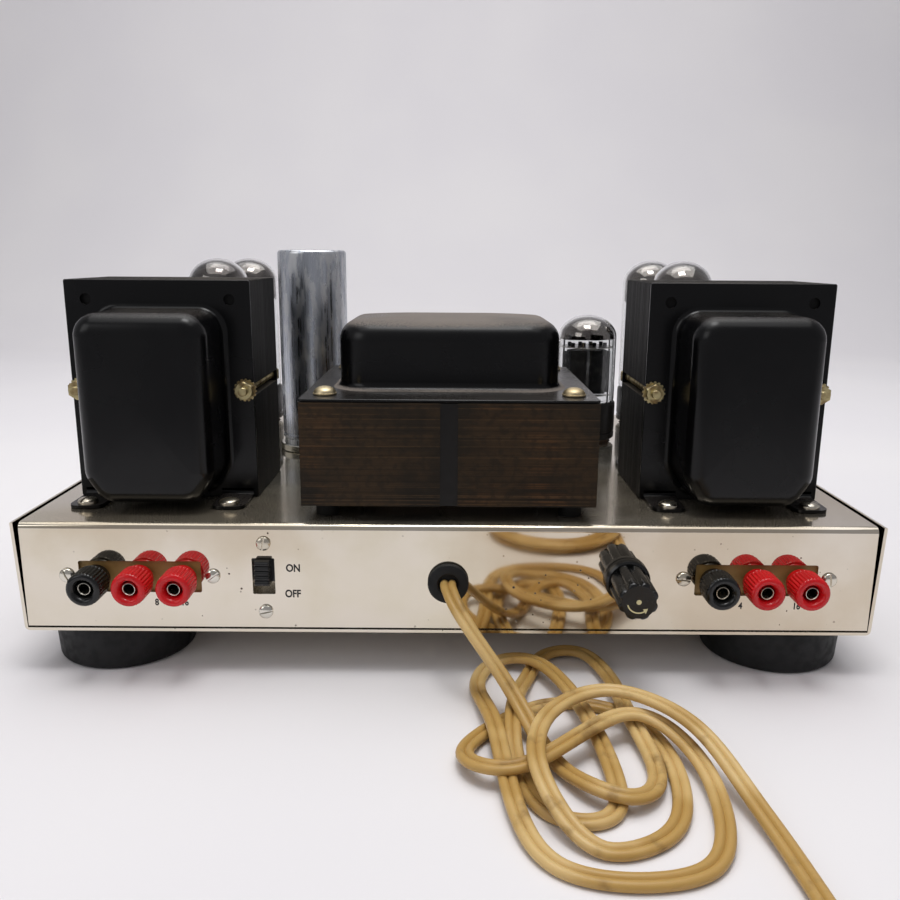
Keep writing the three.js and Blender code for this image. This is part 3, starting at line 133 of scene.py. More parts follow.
def turned(profile, sides=ROUND_SIDES, wave=None):
    """A lathe shape about +Z: for each (radius, height) and angle a, (r cos a, r sin a, h).
    wave(a, r, h), where given, is added to the radius. The profile starts and ends on the axis, or closes."""
    angle = np.linspace(0, 2 * pi, sides, endpoint=False)
    radius, height = (column[:, None] for column in np.asarray(profile, float).T)
    reach = radius + (wave(angle[None], radius, height) if wave else 0 * angle[None])
    return skin_over(np.stack([reach * np.cos(angle), reach * np.sin(angle), height + 0 * angle], -1))


def cylinder(radius, low, high, sides=SMALL_SIDES):
    return turned([(0, low), (radius, low), (radius, high), (0, high)], sides)


print("a cylinder has", len(cylinder(1, 0, 1)[1]), "faces")

# %% [markdown]
# Outlines are flat lines of points: arcs, domes and corners rounded by a radius. A prism carries an outline
# straight up, which makes plates, blocks and cutters. Its rims get a small chamfer, since no real edge is
# sharp.

# %% Outlines and what is carried along them
def arc(middle, radius, start, end, steps=8):
    """Points on a circle: middle + radius (cos a, sin a), with a from start to end in degrees."""
    a = np.radians(np.linspace(start, end, steps + 1))
    return np.column_stack([middle[0] + radius * np.cos(a), middle[1] + radius * np.sin(a)])


def dome_line(radius, base, rise, steps):
    """A quarter ellipse from the rim to the pole: radius cos a, base + rise sin a."""
    a = np.linspace(0, pi / 2, steps + 1)
    return np.column_stack([radius * np.cos(a), base + rise * np.sin(a)])


def rounded(corners, radii, inset=0, steps=8):
    """An outline with round corners, drawn in by inset: each side moves inwards, neighbouring sides meet
    again, and an arc that touches both takes the corner. Corners run anticlockwise."""
    corners = np.asarray(corners, float)
    along = np.roll(corners, -1, 0) - corners
    along /= np.linalg.norm(along, axis=1)[:, None]
    inward = np.column_stack([-along[:, 1], along[:, 0]])
    outline = []
    for i, corner in enumerate(corners):
        before, after = inward[i - 1], inward[i]
        bisector = (before + after) / (1 + before @ after)
        radius = max(radii[i] - inset, 0)
        middle = corner + bisector * (inset + radius)
        start = np.degrees(np.arctan2(-before[1], -before[0]))
        turn = np.degrees(np.arccos(np.clip(before @ after, -1, 1)))
        outline.append(arc(middle, radius, start, start + turn, steps))
    return np.vstack(outline)


def rectangle(half_x, low, high):
    return [(-half_x, low), (half_x, low), (half_x, high), (-half_x, high)]


def round_box(half_x, low, high, radius, steps=8):
    """A rectangle's outline with four equal round corners."""
    return rounded(rectangle(half_x, low, high), [radius] * 4, steps=steps)


def raised(outline, height):
    """The flat outline as a ring at this height."""
    return np.column_stack([outline, np.full(len(outline), height)])


def across(section, places):
    """A section in y and z carried across the given places on x."""
    return shell([np.column_stack([np.full(len(section), x), section]) for x in places])


def prism(outline, bottom, top, edge=0):
    """The outline carried from bottom to top, its two rims eased by a chamfer of the given edge."""
    outline = np.asarray(outline, float)
    if edge == 0:
        return shell([raised(outline, bottom), raised(outline, top)])
    middle = outline.mean(0)
    half = np.abs(outline - middle).max(0)
    eased = middle + (outline - middle) * (1 - edge / half)
    return shell([raised(eased, bottom), raised(outline, bottom + edge),
                  raised(outline, top - edge), raised(eased, top)])


def block(low, high, edge=0.15):
    """A box between two corners with eased upper and lower rims."""
    (left, near, bottom), (right, far, top) = low, high
    return prism([(left, near), (right, near), (right, far), (left, far)], bottom, top, edge)


print("a block has", len(block((0, 0, 0), (1, 1, 1))[1]), "faces")

# %% [markdown]
# ## Tools for placing and making
#
# A shape is laid another way by taking its three coordinates in another order and with other signs. Pairs of
# a shape and a finish make up a piece, so most tools have a form that works on pairs.

# %% Moving and placing
def moved(shape, x=0, y=0, z=0):
    return shape[0] + np.array([x, y, z], float), shape[1]


def twisted(shape, degrees):
    """The shape turned about +Z."""
    c, s = cos(radians(degrees)), sin(radians(degrees))
    return shape[0] @ np.array([[c, s, 0], [-s, c, 0], [0, 0, 1]]), shape[1]


def laid(shape, order=(0, 1, 2), signs=(1, 1, 1)):
    """Coordinate n of each point becomes sign n times the old coordinate order n."""
    return shape[0][:, list(order)] * signs, shape[1]


def out_of_panel(shape, x=0, z=0):
    """What stood up along +Z looks out of the terminal panel at a place on it, and its own +Y is up."""
    return moved(laid(shape, (0, 2, 1), (1, -1, 1)), x, 0, z)


def off_floor(shape):
    """Heights over the floor turned into heights over the deck."""
    return moved(shape, z=-DECK)


def each(change, parts, *values):
    """The pairs with every shape put through a change such as moved."""
    return [(change(shape, *values), finish) for shape, finish in parts]


def painted(finish, *shapes):
    return [(shape, finish) for shape in shapes]


def place_of(node):
    """Middle of a node across the floor, in millimetres from the amplifier's middle and from the panel."""
    low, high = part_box(node)
    middle = (low + high) / 2 / MM
    return middle.x, middle.y - PANEL


print("the filter can stands at", *(round(part, 1) for part in place_of("filter_can")))

# %% [markdown]
# Every shape goes into a mesh in one place, where doubled points are merged and faces turned outwards. Holes
# are cut by Blender's own exact boolean, which needs objects, so scratch objects come and go.

# %% Filling, cutting and making pieces
MERGE_DISTANCE, SHARP_ANGLE = 2e-4, 32


def filled(mesh, shapes):
    """Puts shapes into a mesh. Each has its doubled points merged first and then its faces turned out."""
    together = bmesh.new()
    for number, (points, faces) in enumerate(shapes):
        part = bpy.data.meshes.new("part")
        part.from_pydata(np.asarray(points, float), [], faces)
        part.polygons.foreach_set("material_index", np.full(len(part.polygons), number, np.int32))
        body = bmesh.new()
        body.from_mesh(part)
        bmesh.ops.remove_doubles(body, verts=body.verts, dist=MERGE_DISTANCE)
        bmesh.ops.recalc_face_normals(body, faces=body.faces)
        body.to_mesh(part)
        body.free()
        together.from_mesh(part)
        bpy.data.meshes.remove(part)
    together.to_mesh(mesh)
    together.free()
    return mesh


def shape_of(obj):
    """An object's finished mesh as an array of points and a list of faces."""
    mesh = obj.evaluated_get(bpy.context.evaluated_depsgraph_get()).to_mesh()
    points = np.zeros(len(mesh.vertices) * 3)
    mesh.vertices.foreach_get("co", points)
    return points.reshape(-1, 3), [list(polygon.vertices) for polygon in mesh.polygons]


def carved(shape, cutters):
    """The shape with the cutters taken away, by Blender's exact boolean on scratch objects."""
    base, tools = (linked("scratch", filled(bpy.data.meshes.new("scratch"), shapes))
                   for shapes in ([shape], cutters))
    modifier = base.modifiers.new("cut", "BOOLEAN")
    modifier.operation = "DIFFERENCE"
    modifier.solver = "EXACT"
    modifier.object = tools
    shape = shape_of(base)
    for obj in (base, tools):
        bpy.data.meshes.remove(obj.data)
    return shape


def make(name, parts, node=None, at=(0, 0, 0), body=None, sharp=SHARP_ANGLE):
    """One finished piece at a place, from (shape, finish) pairs. It stands for its node and rides on that
    node's body. Where it only adds to the amplifier, the body is given instead."""
    mesh = filled(bpy.data.meshes.new(name), [moved(shape, *at) for shape, _ in parts])
    number = np.zeros(len(mesh.polygons), np.int32)
    mesh.polygons.foreach_get("material_index", number)
    finishes = list(dict.fromkeys(finish for _, finish in parts))
    for finish in finishes:
        mesh.materials.append(finish.material)
    table = np.array([finishes.index(finish) for _, finish in parts], np.int32)
    mesh.polygons.foreach_set("material_index", table[number])
    mesh.transform(Matrix.Translation((0, PANEL * MM, DECK * MM)) @ Matrix.Scale(MM, 4))
    mesh.shade_smooth()
    mesh.set_sharp_from_angle(angle=radians(sharp))
    obj = linked(name, mesh)
    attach(obj, body or body_of[node])
    if node:
        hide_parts(node)
    print(f"{name}: {len(mesh.polygons)} faces")
    return obj


print("bodies to ride on:", len(set(body_of.values())))

# %% [markdown]
# ## Effects that several finishes share
#
# Dust settles on what faces up, plating pits in small round spots, sheets leave lines, and moulded or
# painted skin is never quite smooth. Each effect is a node group that gives out a mask or a height, so a
# finish can weigh it with its own values. The shader itself stays in the material.

# %% Short ways to add shader nodes
class Nodes:
    """A shader node tree and short ways to add nodes to it."""

    def __init__(self, tree):
        self.tree = tree

    def feed(self, socket, value):
        """Gives a socket a constant or another node's output."""
        if isinstance(value, bpy.types.NodeSocket):
            self.tree.links.new(value, socket)
        else:
            socket.default_value = value

    def add(self, kind, *values, **named):
        """A node. Lower-case names are settings, other names are inputs, values fill the first inputs."""
        made = self.tree.nodes.new("ShaderNode" + kind)
        for label, value in named.items():
            if label.islower():
                setattr(made, label, value)
            else:
                self.feed(made.inputs[label], value)
        for number, value in enumerate(values):
            self.feed(made.inputs[number], value)
        return made

    def place(self):
        return self.add("TexCoord").outputs["Object"]

    def noise(self, scale, detail=3):
        return self.add("TexNoise", Vector=self.place(), Scale=scale, Detail=detail).outputs[0]

    def math(self, operation, *values):
        return self.add("Math", *values, operation=operation).outputs[0]

    def product(self, first, second):
        return self.math("MULTIPLY", first, second)

    def band(self, value, *stretch):
        """The value's stretch from low to high, mapped smoothly to 0 and 1 or to another stretch."""
        return self.add("MapRange", value, *stretch, interpolation_type="SMOOTHSTEP").outputs[0]

    def cloud(self, scale, detail, *stretch):
        """A noise mapped in the same way."""
        return self.band(self.noise(scale, detail), *stretch)


class Effect(Nodes):
    """A node group with named inputs, their defaults, and one output."""

    def __init__(self, name, **inputs):
        super().__init__(bpy.data.node_groups.new(name, "ShaderNodeTree"))
        for label, value in inputs.items():
            socket = self.tree.interface.new_socket(label, in_out="INPUT", socket_type="NodeSocketFloat")
            socket.default_value = value
        self.tree.interface.new_socket("Result", in_out="OUTPUT", socket_type="NodeSocketFloat")
        self.given = self.tree.nodes.new("NodeGroupInput").outputs

    def give(self, value):
        self.feed(self.tree.nodes.new("NodeGroupOutput").inputs[0], value)


print("node tools:", Nodes.__name__, "and", Effect.__name__)

# %% [markdown]
# Dust is how far the surface faces up, times a broad noise for drifts and a fine one for grains. Pits are
# the hearts of some Voronoi cells, kept where a broad noise is high. Streaks are noise on squeezed
# coordinates: along an axis with a small number it hardly changes. Skin is orange peel with fine grain on it.

# %% The four effects
dust = Effect("settled_dust", Grain=900, Drift=18)
normal = dust.add("NewGeometry").outputs["Normal"]
facing_up = dust.band(dust.add("SeparateXYZ", normal).outputs[2], 0.55, 0.98)
drifts = dust.cloud(dust.given["Drift"], 3, 0.3, 0.7, 0.35, 1)
grains = dust.cloud(dust.given["Grain"], 2, 0.35, 0.65, 0.3, 1)
dust.give(dust.product(facing_up, dust.product(drifts, grains)))

pits = Effect("plating_pits", Scale=260, Size=0.14, Gather=14)
cells = pits.add("TexVoronoi", Vector=pits.place(), Scale=pits.given["Scale"], Randomness=1).outputs
heart = pits.band(pits.math("SUBTRACT", pits.given["Size"], cells["Distance"]), 0, 0.05)
chance = pits.add("TexWhiteNoise", noise_dimensions="3D", Vector=cells["Position"]).outputs[0]
gathered = pits.product(pits.band(chance, 0.74, 0.86), pits.cloud(pits.given["Gather"], 4, 0.44, 0.6))
pits.give(pits.product(heart, gathered))

streaks = Effect("streaks", X=1, Y=1, Z=1, Detail=3)
parts = streaks.add("SeparateXYZ", streaks.place()).outputs
squeezed = streaks.add("CombineXYZ", *[streaks.product(parts[n], streaks.given[n]) for n in range(3)])
lines = streaks.add("TexNoise", Vector=squeezed.outputs[0], Scale=1, Detail=streaks.given["Detail"])
streaks.give(lines.outputs[0])

skin = Effect("moulded_skin", Peel=160, Grain=2200)
grain, peel = skin.noise(skin.given["Grain"], 1), skin.noise(skin.given["Peel"], 2)
skin.give(skin.math("MULTIPLY_ADD", grain, 0.35, peel))
print("node groups:", len(bpy.data.node_groups))

# %% [markdown]
# ## Finishes
#
# A finish starts as one Principled shader with plain values. What varies over the surface is linked in: a
# colour mixed towards dust, rust or dirt by a mask, a roughness spread by a noise, and a bump from a height.

# %% A finish and the ways to vary it
class Finish(Nodes):
    """One material with its Principled shader, and short ways to vary its colour, roughness and bump."""

    def __init__(self, name, color, roughness, metallic=0, **constants):
        self.material = bpy.data.materials.new(name)
        self.material.use_nodes = True
        super().__init__(self.material.node_tree)
        self.inputs = self.tree.nodes["Principled BSDF"].inputs
        constants.update(Base_Color=(*color, 1), Roughness=roughness, Metallic=metallic)
        for label, value in constants.items():
            self.inputs[label.replace("_", " ")].default_value = value

    def effect(self, shared, **inputs):
        """One of the effects, placed in this finish with its own values."""
        return self.add("Group", node_tree=shared.tree, **inputs).outputs[0]

    def vary(self, label, value, mask):
        """Moves a colour or a number from what it is towards a value by a mask, or by a noise cloud."""
        kind, first, result = ("RGBA", 6, 2) if label == "Base Color" else ("FLOAT", 2, 0)
        mask = self.cloud(*mask) if isinstance(mask, tuple) else mask
        socket = self.inputs[label]
        mix = self.add("Mix", mask, data_type=kind)
        self.feed(mix.inputs[first], socket.links[0].from_socket if socket.links else socket.default_value)
        self.feed(mix.inputs[first + 1], value)
        self.feed(socket, mix.outputs[result])
        return self

    def toward(self, color, mask):
        return self.vary("Base Color", (*color, 1), mask)

    def rough(self, value, mask):
        return self.vary("Roughness", value, mask)

    def bump(self, height, strength, distance):
        """Raises the surface by a height, in millimetres of distance."""
        lifted = self.add("Bump", Height=height, Strength=strength, Distance=distance * MM)
        self.feed(self.inputs["Normal"], lifted.outputs[0])
        return self


def shade(color, *shares):
    """The colour with each part times its share, or all parts times the only share."""
    return [part * share for part, share in zip(color, shares * 3)]


print("a red at half its strength:", shade((0.6, 0.2, 0.1), 0.5))

# %% [markdown]
# Nickel plate is a mirror that has aged: warm, a little hazy, freckled with dark pits where the plating has
# lifted, and dusty on the deck. The pits are dull and dark, so they change colour, metal and roughness.

# %% Plated and bare metals
def nickel_finish(name, color, roughness, dusty, wavy=0):
    made = Finish(name, color, roughness, 1)
    if wavy:
        made.bump(made.noise(16, 1), 1, wavy)
    haze = made.cloud(22, 5, 0.35, 0.7)
    made.toward(shade(color, 0.92, 0.92, 0.84), haze)
    made.toward(shade(color, 0.80, 0.74, 0.66), (11, 7, 0.45, 0.68))
    made.rough(roughness * 1.8, haze)
    spots = made.math("MAXIMUM", made.effect(pits, Scale=330, Size=0.15, Gather=17),
                      made.effect(pits, Scale=150, Size=0.10, Gather=31))
    made.toward((0.055, 0.035, 0.02), spots).vary("Metallic", 0.2, spots).rough(0.6, spots)
    film = made.band(made.effect(dust, Grain=2600, Drift=13), 0, 1, 0, dusty)
    return made.toward((0.16, 0.135, 0.07), film).rough(0.75, film).vary("Metallic", 0.3, film)


nickel = nickel_finish("nickel_plate", (0.76, 0.70, 0.605), 0.035, 0.38, 0.06)
nickel_small = nickel_finish("nickel_fasteners", (0.72, 0.69, 0.62), 0.16, 0.1)
zinc = nickel_finish("dull_zinc", (0.60, 0.50, 0.33), 0.3, 0.3)
steel_strip = nickel_finish("switch_steel", (0.62, 0.57, 0.48), 0.22, 0.1)

brass = Finish("dull_brass", (0.56, 0.48, 0.26), 0.32, 1)
tarnish = brass.cloud(240, 4, 0.4, 0.66)
brass.toward((0.30, 0.22, 0.11), tarnish).rough(0.55, tarnish)
brass.toward((0.30, 0.27, 0.2), brass.effect(dust, Grain=1500))

aluminium = Finish("drawn_aluminium", (0.56, 0.59, 0.65), 0.17, 1, Anisotropic=0.4)
drawn = aluminium.effect(streaks, X=900, Y=900, Z=9)
painted_reflection_bands = aluminium.effect(streaks, X=70, Y=70, Z=4)
mottle = aluminium.effect(streaks, X=330, Y=330, Z=85, Detail=7)
smudges = aluminium.band(mottle, 0.44, 0.62, 0, 0.75)
aluminium.rough(0.36, aluminium.band(drawn, 0.35, 0.65))
# Painted reflection: broad dark blue-grey vertical bands, standing for dark surroundings mirrored in the round
# wall.
aluminium.toward((0.30, 0.33, 0.36), aluminium.band(painted_reflection_bands, 0.45, 0.7))
aluminium.toward((0.80, 0.81, 0.82), smudges).rough(0.38, smudges)
aluminium.toward((0.42, 0.43, 0.42), aluminium.effect(dust))
print("metals:", ", ".join(metal.material.name for metal in (nickel, zinc, steel_strip, brass, aluminium)))

# %% [markdown]
# The transformers are dipped and sprayed black. The bells are smooth enamel with orange peel and dust on
# their shoulders. The power transformer's sheet edges were left bare and have rusted: lines run along the
# sheets, with hardly a change along x and y and a quick one along z, and clouds of rust lie over them.

# %% Enamel, iron and windings
def enamel_finish(name, dusty, thickest):
    """Dust covers most where its mask passes the thickest value."""
    made = Finish(name, (0.0016, 0.0016, 0.002), 0.2, Specular_IOR_Level=0.27)
    made.bump(made.effect(skin, Peel=150, Grain=1700), 0.10, 0.05).rough(0.3, (30, 4, 0.35, 0.7))
    film = made.band(made.effect(dust, Grain=2200, Drift=24), 0, thickest, 0, dusty)
    return made.toward((0.20, 0.172, 0.15), film).rough(0.85, film)


def sheet_iron(name, pile_axis, dark, brown, orange):
    """Edges of stacked sheets: broad and fine lines along the sheets, and cloudy rust that cares for none."""
    made = Finish(name, dark, 0.6, 0.15, Specular_IOR_Level=0.22)
    sheets, lines = (made.effect(streaks, **{axis: quick if axis == pile_axis else slow for axis in "XYZ"})
                     for slow, quick in ((2, 900), (3, 1250)))
    rust = made.product(made.cloud(24, 5, 0.5, 0.66), made.band(lines, 0.4, 0.62))
    made.toward(brown, (42, 6, 0.36, 0.62)).toward(orange, made.band(rust, 0, 1, 0, 0.75))
    made.toward(shade(brown, 2.1), made.band(lines, 0.54, 0.66, 0, 0.6))
    made.toward(shade(dark, 0.5), made.band(sheets, 0.52, 0.66, 0, 0.4))
    made.toward(dark, (330, 4, 0.46, 0.62, 0, 0.55))
    return made.toward((0.10, 0.085, 0.065), made.effect(dust)).bump(lines, 0.5, 0.12)


enamel = enamel_finish("black_enamel", 0.2, 1)
dusty_enamel = enamel_finish("dusty_enamel", 0.92, 0.4)
rusted_iron = sheet_iron("rusted_laminations", "Z", (0.014, 0.010, 0.006), (0.036, 0.021, 0.0095),
                         (0.095, 0.041, 0.014))
black_iron = sheet_iron("varnished_laminations", "Y", (0.0035, 0.0035, 0.0035), (0.006, 0.0055, 0.005),
                        (0.012, 0.009, 0.007))
# Painted shade as well as a dark varnished wrap: the coil is coloured near black for the shade it sits in
# under the core.
winding_and_painted_shade = Finish("varnished_winding_and_painted_shade", (0.050, 0.028, 0.015), 0.4)
winding_and_painted_shade.bump(winding_and_painted_shade.effect(streaks, X=30, Y=30, Z=2600), 0.6, 0.2)
winding_and_painted_shade.toward((0.024, 0.014, 0.009), (60, 3, 0.4, 0.65))
print("black:", enamel.material.name, dusty_enamel.material.name, black_iron.material.name)

# %% [markdown]
# Plastics and rubber differ by gloss and grain: posts are shiny mouldings, the feet and the cord's bushing
# are matt rubber, the boards are pressed phenolic with a cloudy grain.

# %% Plastics, rubber, boards and print
def moulded(name, color, roughness, peel, grain, bump, cloud=None, dusty=0.4, specular=0.5):
    """A moulded or pressed skin: a bump of peel and grain, clouds of a second colour, a little dust."""
    made = Finish(name, color, roughness, Specular_IOR_Level=specular)
    made.bump(made.effect(skin, Peel=peel, Grain=grain), bump, 0.06)
    made.toward(cloud or shade(color, 0.7), (90, 4, 0.42, 0.7))
    made.rough(min(1, roughness * 1.4), (260, 3, 0.35, 0.7))
    settled = made.band(made.effect(dust, Grain=1800, Drift=30), 0, 1, 0, dusty)
    return made.toward((0.26, 0.25, 0.23), settled)


red_plastic = moulded("red_post", (0.60, 0.004, 0.008), 0.17, 300, 2600, 0.05, (0.48, 0.003, 0.006), 0.02,
                      0.45)
black_plastic = moulded("black_post", (0.003, 0.0032, 0.0033), 0.2, 300, 2600, 0.06, None, 0.04, 0.45)
bakelite = moulded("tube_base", (0.006, 0.005, 0.0045), 0.33, 220, 2000, 0.08, None, 0.2, 0.25)
rubber = moulded("black_rubber", (0.008, 0.0085, 0.009), 0.5, 420, 3000, 0.18, None, 0.2, 0.3)
phenolic = moulded("phenolic_board", (0.34, 0.21, 0.062), 0.42, 500, 2600, 0.1, (0.25, 0.15, 0.045), 0.3)
socket_brown = moulded("socket_phenolic", (0.10, 0.05, 0.022), 0.5, 400, 2600, 0.1)
green_board = moulded("green_board", (0.055, 0.10, 0.035), 0.38, 500, 2600, 0.06, None, 0.5)
ink = moulded("panel_print", (0.012, 0.012, 0.012), 0.5, 500, 2600, 0.03, None, 0)
cream = moulded("cream_mark", (0.72, 0.66, 0.38), 0.5, 500, 2600, 0.05, (0.6, 0.53, 0.28), 0)
white_plastic = moulded("white_insulator", (0.7, 0.69, 0.64), 0.35, 300, 2600, 0.05)
part_brown = moulded("part_body", (0.20, 0.10, 0.045), 0.4, 300, 2600, 0.05)
part_ochre = moulded("film_part", (0.50, 0.30, 0.05), 0.3, 300, 2600, 0.05)
print("materials, with those of the CAD model:", len(bpy.data.materials))

# %% [markdown]
# The lead is old vinyl: tan with lighter clouds, browned in patches by dirt and smoke, with fine dark specks.
# Tube glass is a clear closed skin, and what is seen through it is modelled: a dark anode, mica discs, and
# the dark mirror that the getter leaves in the dome.

# %% Vinyl, glass and what is inside a tube
vinyl = Finish("aged_vinyl", (0.47, 0.29, 0.088), 0.36, Subsurface_Weight=0.12, Subsurface_Scale=0.002,
               Subsurface_Radius=(1, 0.6, 0.3), Specular_IOR_Level=0.35)
vinyl.toward((0.63, 0.44, 0.185), (34, 2, 0.42, 0.68)).toward((0.26, 0.15, 0.045), (75, 5, 0.56, 0.74))
vinyl.toward((0.20, 0.12, 0.05), (420, 3, 0.72, 0.86)).rough(0.5, (150, 3, 0.4, 0.7))
vinyl.bump(vinyl.effect(skin, Peel=260, Grain=1500), 0.14, 0.08)

glass = Finish("tube_glass", (0.95, 0.96, 0.96), 0.02, Transmission_Weight=1, IOR=1.47)
glass.rough(0.06, (120, 3, 0.5, 0.8))
fuse_glass = Finish("fuse_glass", (0.85, 0.9, 0.9), 0.05, Transmission_Weight=0.9, IOR=1.47)
fuse_glass.rough(0.15, (200, 3, 0.5, 0.8))
getter = Finish("getter_flash", (0.22, 0.195, 0.175), 0.05, 1)
getter.toward((0.05, 0.035, 0.03), (85, 3, 0.42, 0.66)).rough(0.14, (160, 3, 0.4, 0.7))
anode_plate = Finish("anode_plate", (0.030, 0.030, 0.032), 0.5, 0.6)
anode_plate.rough(0.7, (300, 3, 0.4, 0.7)).toward((0.055, 0.052, 0.050), (120, 3, 0.5, 0.75))
mica = Finish("mica_disc", (0.62, 0.60, 0.55), 0.25, Coat_Weight=0.3)
mica.toward((0.42, 0.38, 0.30), (400, 3, 0.4, 0.7))
print("finishes:", len(bpy.data.materials))

# %% [markdown]
# ## The mains lead
#
# A flat twin lead leaves its rubber bushing, drops to the bench and lies there in loose loops that cross
# each other. The route is the same spline as in the CAD model, and what the photograph does not show is
# wound into a small coil with the plug at its end.

# %% The route, in millimetres from the panel and over the floor
LEAD_ROUTE = [
    (0, -1.3, 39.1), (0.2, -8, 38.905), (5.5, -18, 32.062), (22, -33, 12.903), (34.5, -60, 1.7),
    (43.5, -80, 5.4), (56.5, -87, 5.2), (67, -73, 2.4), (63.5, -35, 6), (62, -3, 3.5),
    (54, 14, 4), (40, 13.5, 2.6), (32, -4, 1.7), (24, -34, 6), (23, -66, 1.7),
    (32, -91, 1.7), (50, -91, 1.7), (47.5, -32, 6), (32.5, 3, 5.8), (18.5, 4.5, 3.6),
    (11.5, -8.5, 1.7), (15.8, -42, 5.6), (30, -112, 1.7), (73, -112, 1.7), (82, -67, 5),
    (66, -44.5, 9.5), (21, -74.5, 7), (7.5, -70, 6), (6.5, -55, 2.6), (38, -25.5, 1.7),
    (63, -31, 1.7), (74, -60, 1.7), (66, -97, 1.7), (43, -106, 1.7), (28, -79, 10.5),
    (35, -49, 12.2), (57, -35.5, 13.3), (80, -55, 13.3), (93, -92, 4.4), (100, -169.5, 1.7),
]
LEAD_WIDTH, LEAD_THICKNESS, LEAD_WEB, WEB_BLEND = 6.2, 3.2, 1.2, 0.06
LEAD_REST, LEAD_SMOOTHING = 1.7, 7
FINE_STEP, RING_STEP = 0.5, 2.2
COIL_X, COIL_Y, COIL_RADIUS, COIL_PITCH = 62, -176, 38, 6.7
COIL_TURNS, COIL_RISE, COIL_CLIMB_START, COIL_TAIL = 3, 3.7, 1.25, 25


def catmull(points, steps=40):
    """Centripetal Catmull-Rom: the knot spacing is the root of the distance, the slope at each point comes
    from its two neighbours, and each stretch is a cubic between the two points with those slopes."""
    points = np.vstack([2 * points[0] - points[1], points, 2 * points[-1] - points[-2]])
    p0, p1, p2, p3 = points[:-3], points[1:-2], points[2:-1], points[3:]
    t0, t1, t2 = (np.linalg.norm(b - a, axis=1)[:, None] ** 0.5 for a, b in ((p0, p1), (p1, p2), (p2, p3)))
    m1 = ((p1 - p0) / t0 - (p2 - p0) / (t0 + t1) + (p2 - p1) / t1) * t1
    m2 = ((p2 - p1) / t1 - (p3 - p1) / (t1 + t2) + (p3 - p2) / t2) * t1
    t = np.linspace(0, 1, steps, endpoint=False)[None, :, None]
    p1, p2, m1, m2 = (a[:, None] for a in (p1, p2, m1, m2))
    curve = (2 * p1 - 2 * p2 + m1 + m2) * t ** 3 + (-3 * p1 + 3 * p2 - 2 * m1 - m2) * t ** 2 + m1 * t + p1
    return np.vstack([curve.reshape(-1, 3), points[-2]])


def at_length(path, run, length):
    """The places on a path at the given lengths along it."""
    return np.stack([np.interp(length, run, axis) for axis in path.T], 1)


def evenly(path, step):
    """The path again with its points an even step apart, and the running length at each."""
    run = np.r_[0, np.cumsum(np.linalg.norm(np.diff(path, axis=0), axis=1))]
    length = np.linspace(0, run[-1], int(round(run[-1] / step)) + 1)
    return length, at_length(path, run, length)


def lead_line():
    """The loose part: each place is drawn towards the middle of the places a little before and after it."""
    run, line = evenly(catmull(np.array(LEAD_ROUTE, float)), FINE_STEP)
    reach = np.minimum(LEAD_SMOOTHING, np.minimum(run, run[-1] - run))
    before, here, after = (at_length(line, run, length) for length in (run - reach, run, run + reach))
    line = (before + 2 * here + after) / 4
    line[:, 2] = np.maximum(line[:, 2], LEAD_REST)
    return line


def coil_line():
    """A spiral in on the floor and out again on top: the radius falls and grows by a pitch per turn."""
    turn = np.linspace(0, COIL_TURNS, COIL_TURNS * 60 + 1)
    radius = COIL_RADIUS - COIL_PITCH * np.minimum(turn, COIL_TURNS - turn)
    climbed = np.clip((turn - COIL_CLIMB_START) * 2, 0, 1)
    rise = COIL_RISE * (1 - np.cos(climbed * pi)) / 2
    ring = np.stack([COIL_X + radius * np.cos(-turn * 2 * pi), COIL_Y + radius * np.sin(-turn * 2 * pi),
                     LEAD_REST + rise], 1)
    return np.vstack([ring, ring[-1] - [0, COIL_TAIL, 0]])


lead_length, lead_path = evenly(np.vstack([lead_line(), coil_line()]), RING_STEP)
print(f"lead {lead_length[-1]:.0f} mm long, {len(lead_path)} places")

# %% [markdown]
# The section is two round cores joined by a thin web, so a groove runs along the middle of both faces. It is
# carried along the route with its width level, as a flat lead lies.

# %% The lead's surface
def twin_section(count=44):
    """x = half width times cos a; y is the height of the round core there, never less than half the web."""
    a = np.linspace(0, 2 * pi, count, endpoint=False)
    x = LEAD_WIDTH / 2 * np.cos(a)
    radius, web = LEAD_THICKNESS / 2, LEAD_WEB / 2
    off = np.clip((np.abs(x) - (LEAD_WIDTH / 2 - radius)) / radius, -1, 1)
    core = radius * np.sqrt(1 - off ** 2)
    y = np.where(np.abs(x) < radius, (core + web + np.sqrt((core - web) ** 2 + WEB_BLEND ** 2)) / 2, core)
    y = np.minimum(y, radius)
    return np.stack([x, np.sign(np.sin(a)) * np.where(np.abs(np.sin(a)) < 1e-9, 0, y)], 1)


def along_path(path, section):
    """Rings of a flat section along a path: sideways is level, over stands up from it and the way on."""
    way = np.gradient(path, axis=0)
    way /= np.linalg.norm(way, axis=1)[:, None]
    sideways = np.cross([0, 0, 1], way)
    sideways /= np.linalg.norm(sideways, axis=1)[:, None]
    over = np.cross(way, sideways)
    return path[:, None] + section[None, :, :1] * sideways[:, None] + section[None, :, 1:] * over[:, None]


lead_skin = shell(along_path(lead_path, twin_section()))
mains_lead = make("mains_lead", [(off_floor(lead_skin), vinyl)], "cord", sharp=60)
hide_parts("cord", "cord_coil")

# %% [markdown]
# The plug is a moulded one with two flat blades. Its body is lofted through rounded outlines: a neck with
# grooves that let it bend, a shoulder, a gripping part with a waist, and the face with the blades.

# %% The plug
PLUG_START = (100, -201.3, 5.4)
PLUG_NECK, PLUG_BODY, PLUG_BLADE, PLUG_GROOVE = 8, 27, 16, 0.45
BLADE_SPACING, BLADE_WIDTH, BLADE_SHEET, BLADE_HOLE = 12.7, 6.3, 1.5, 1.55


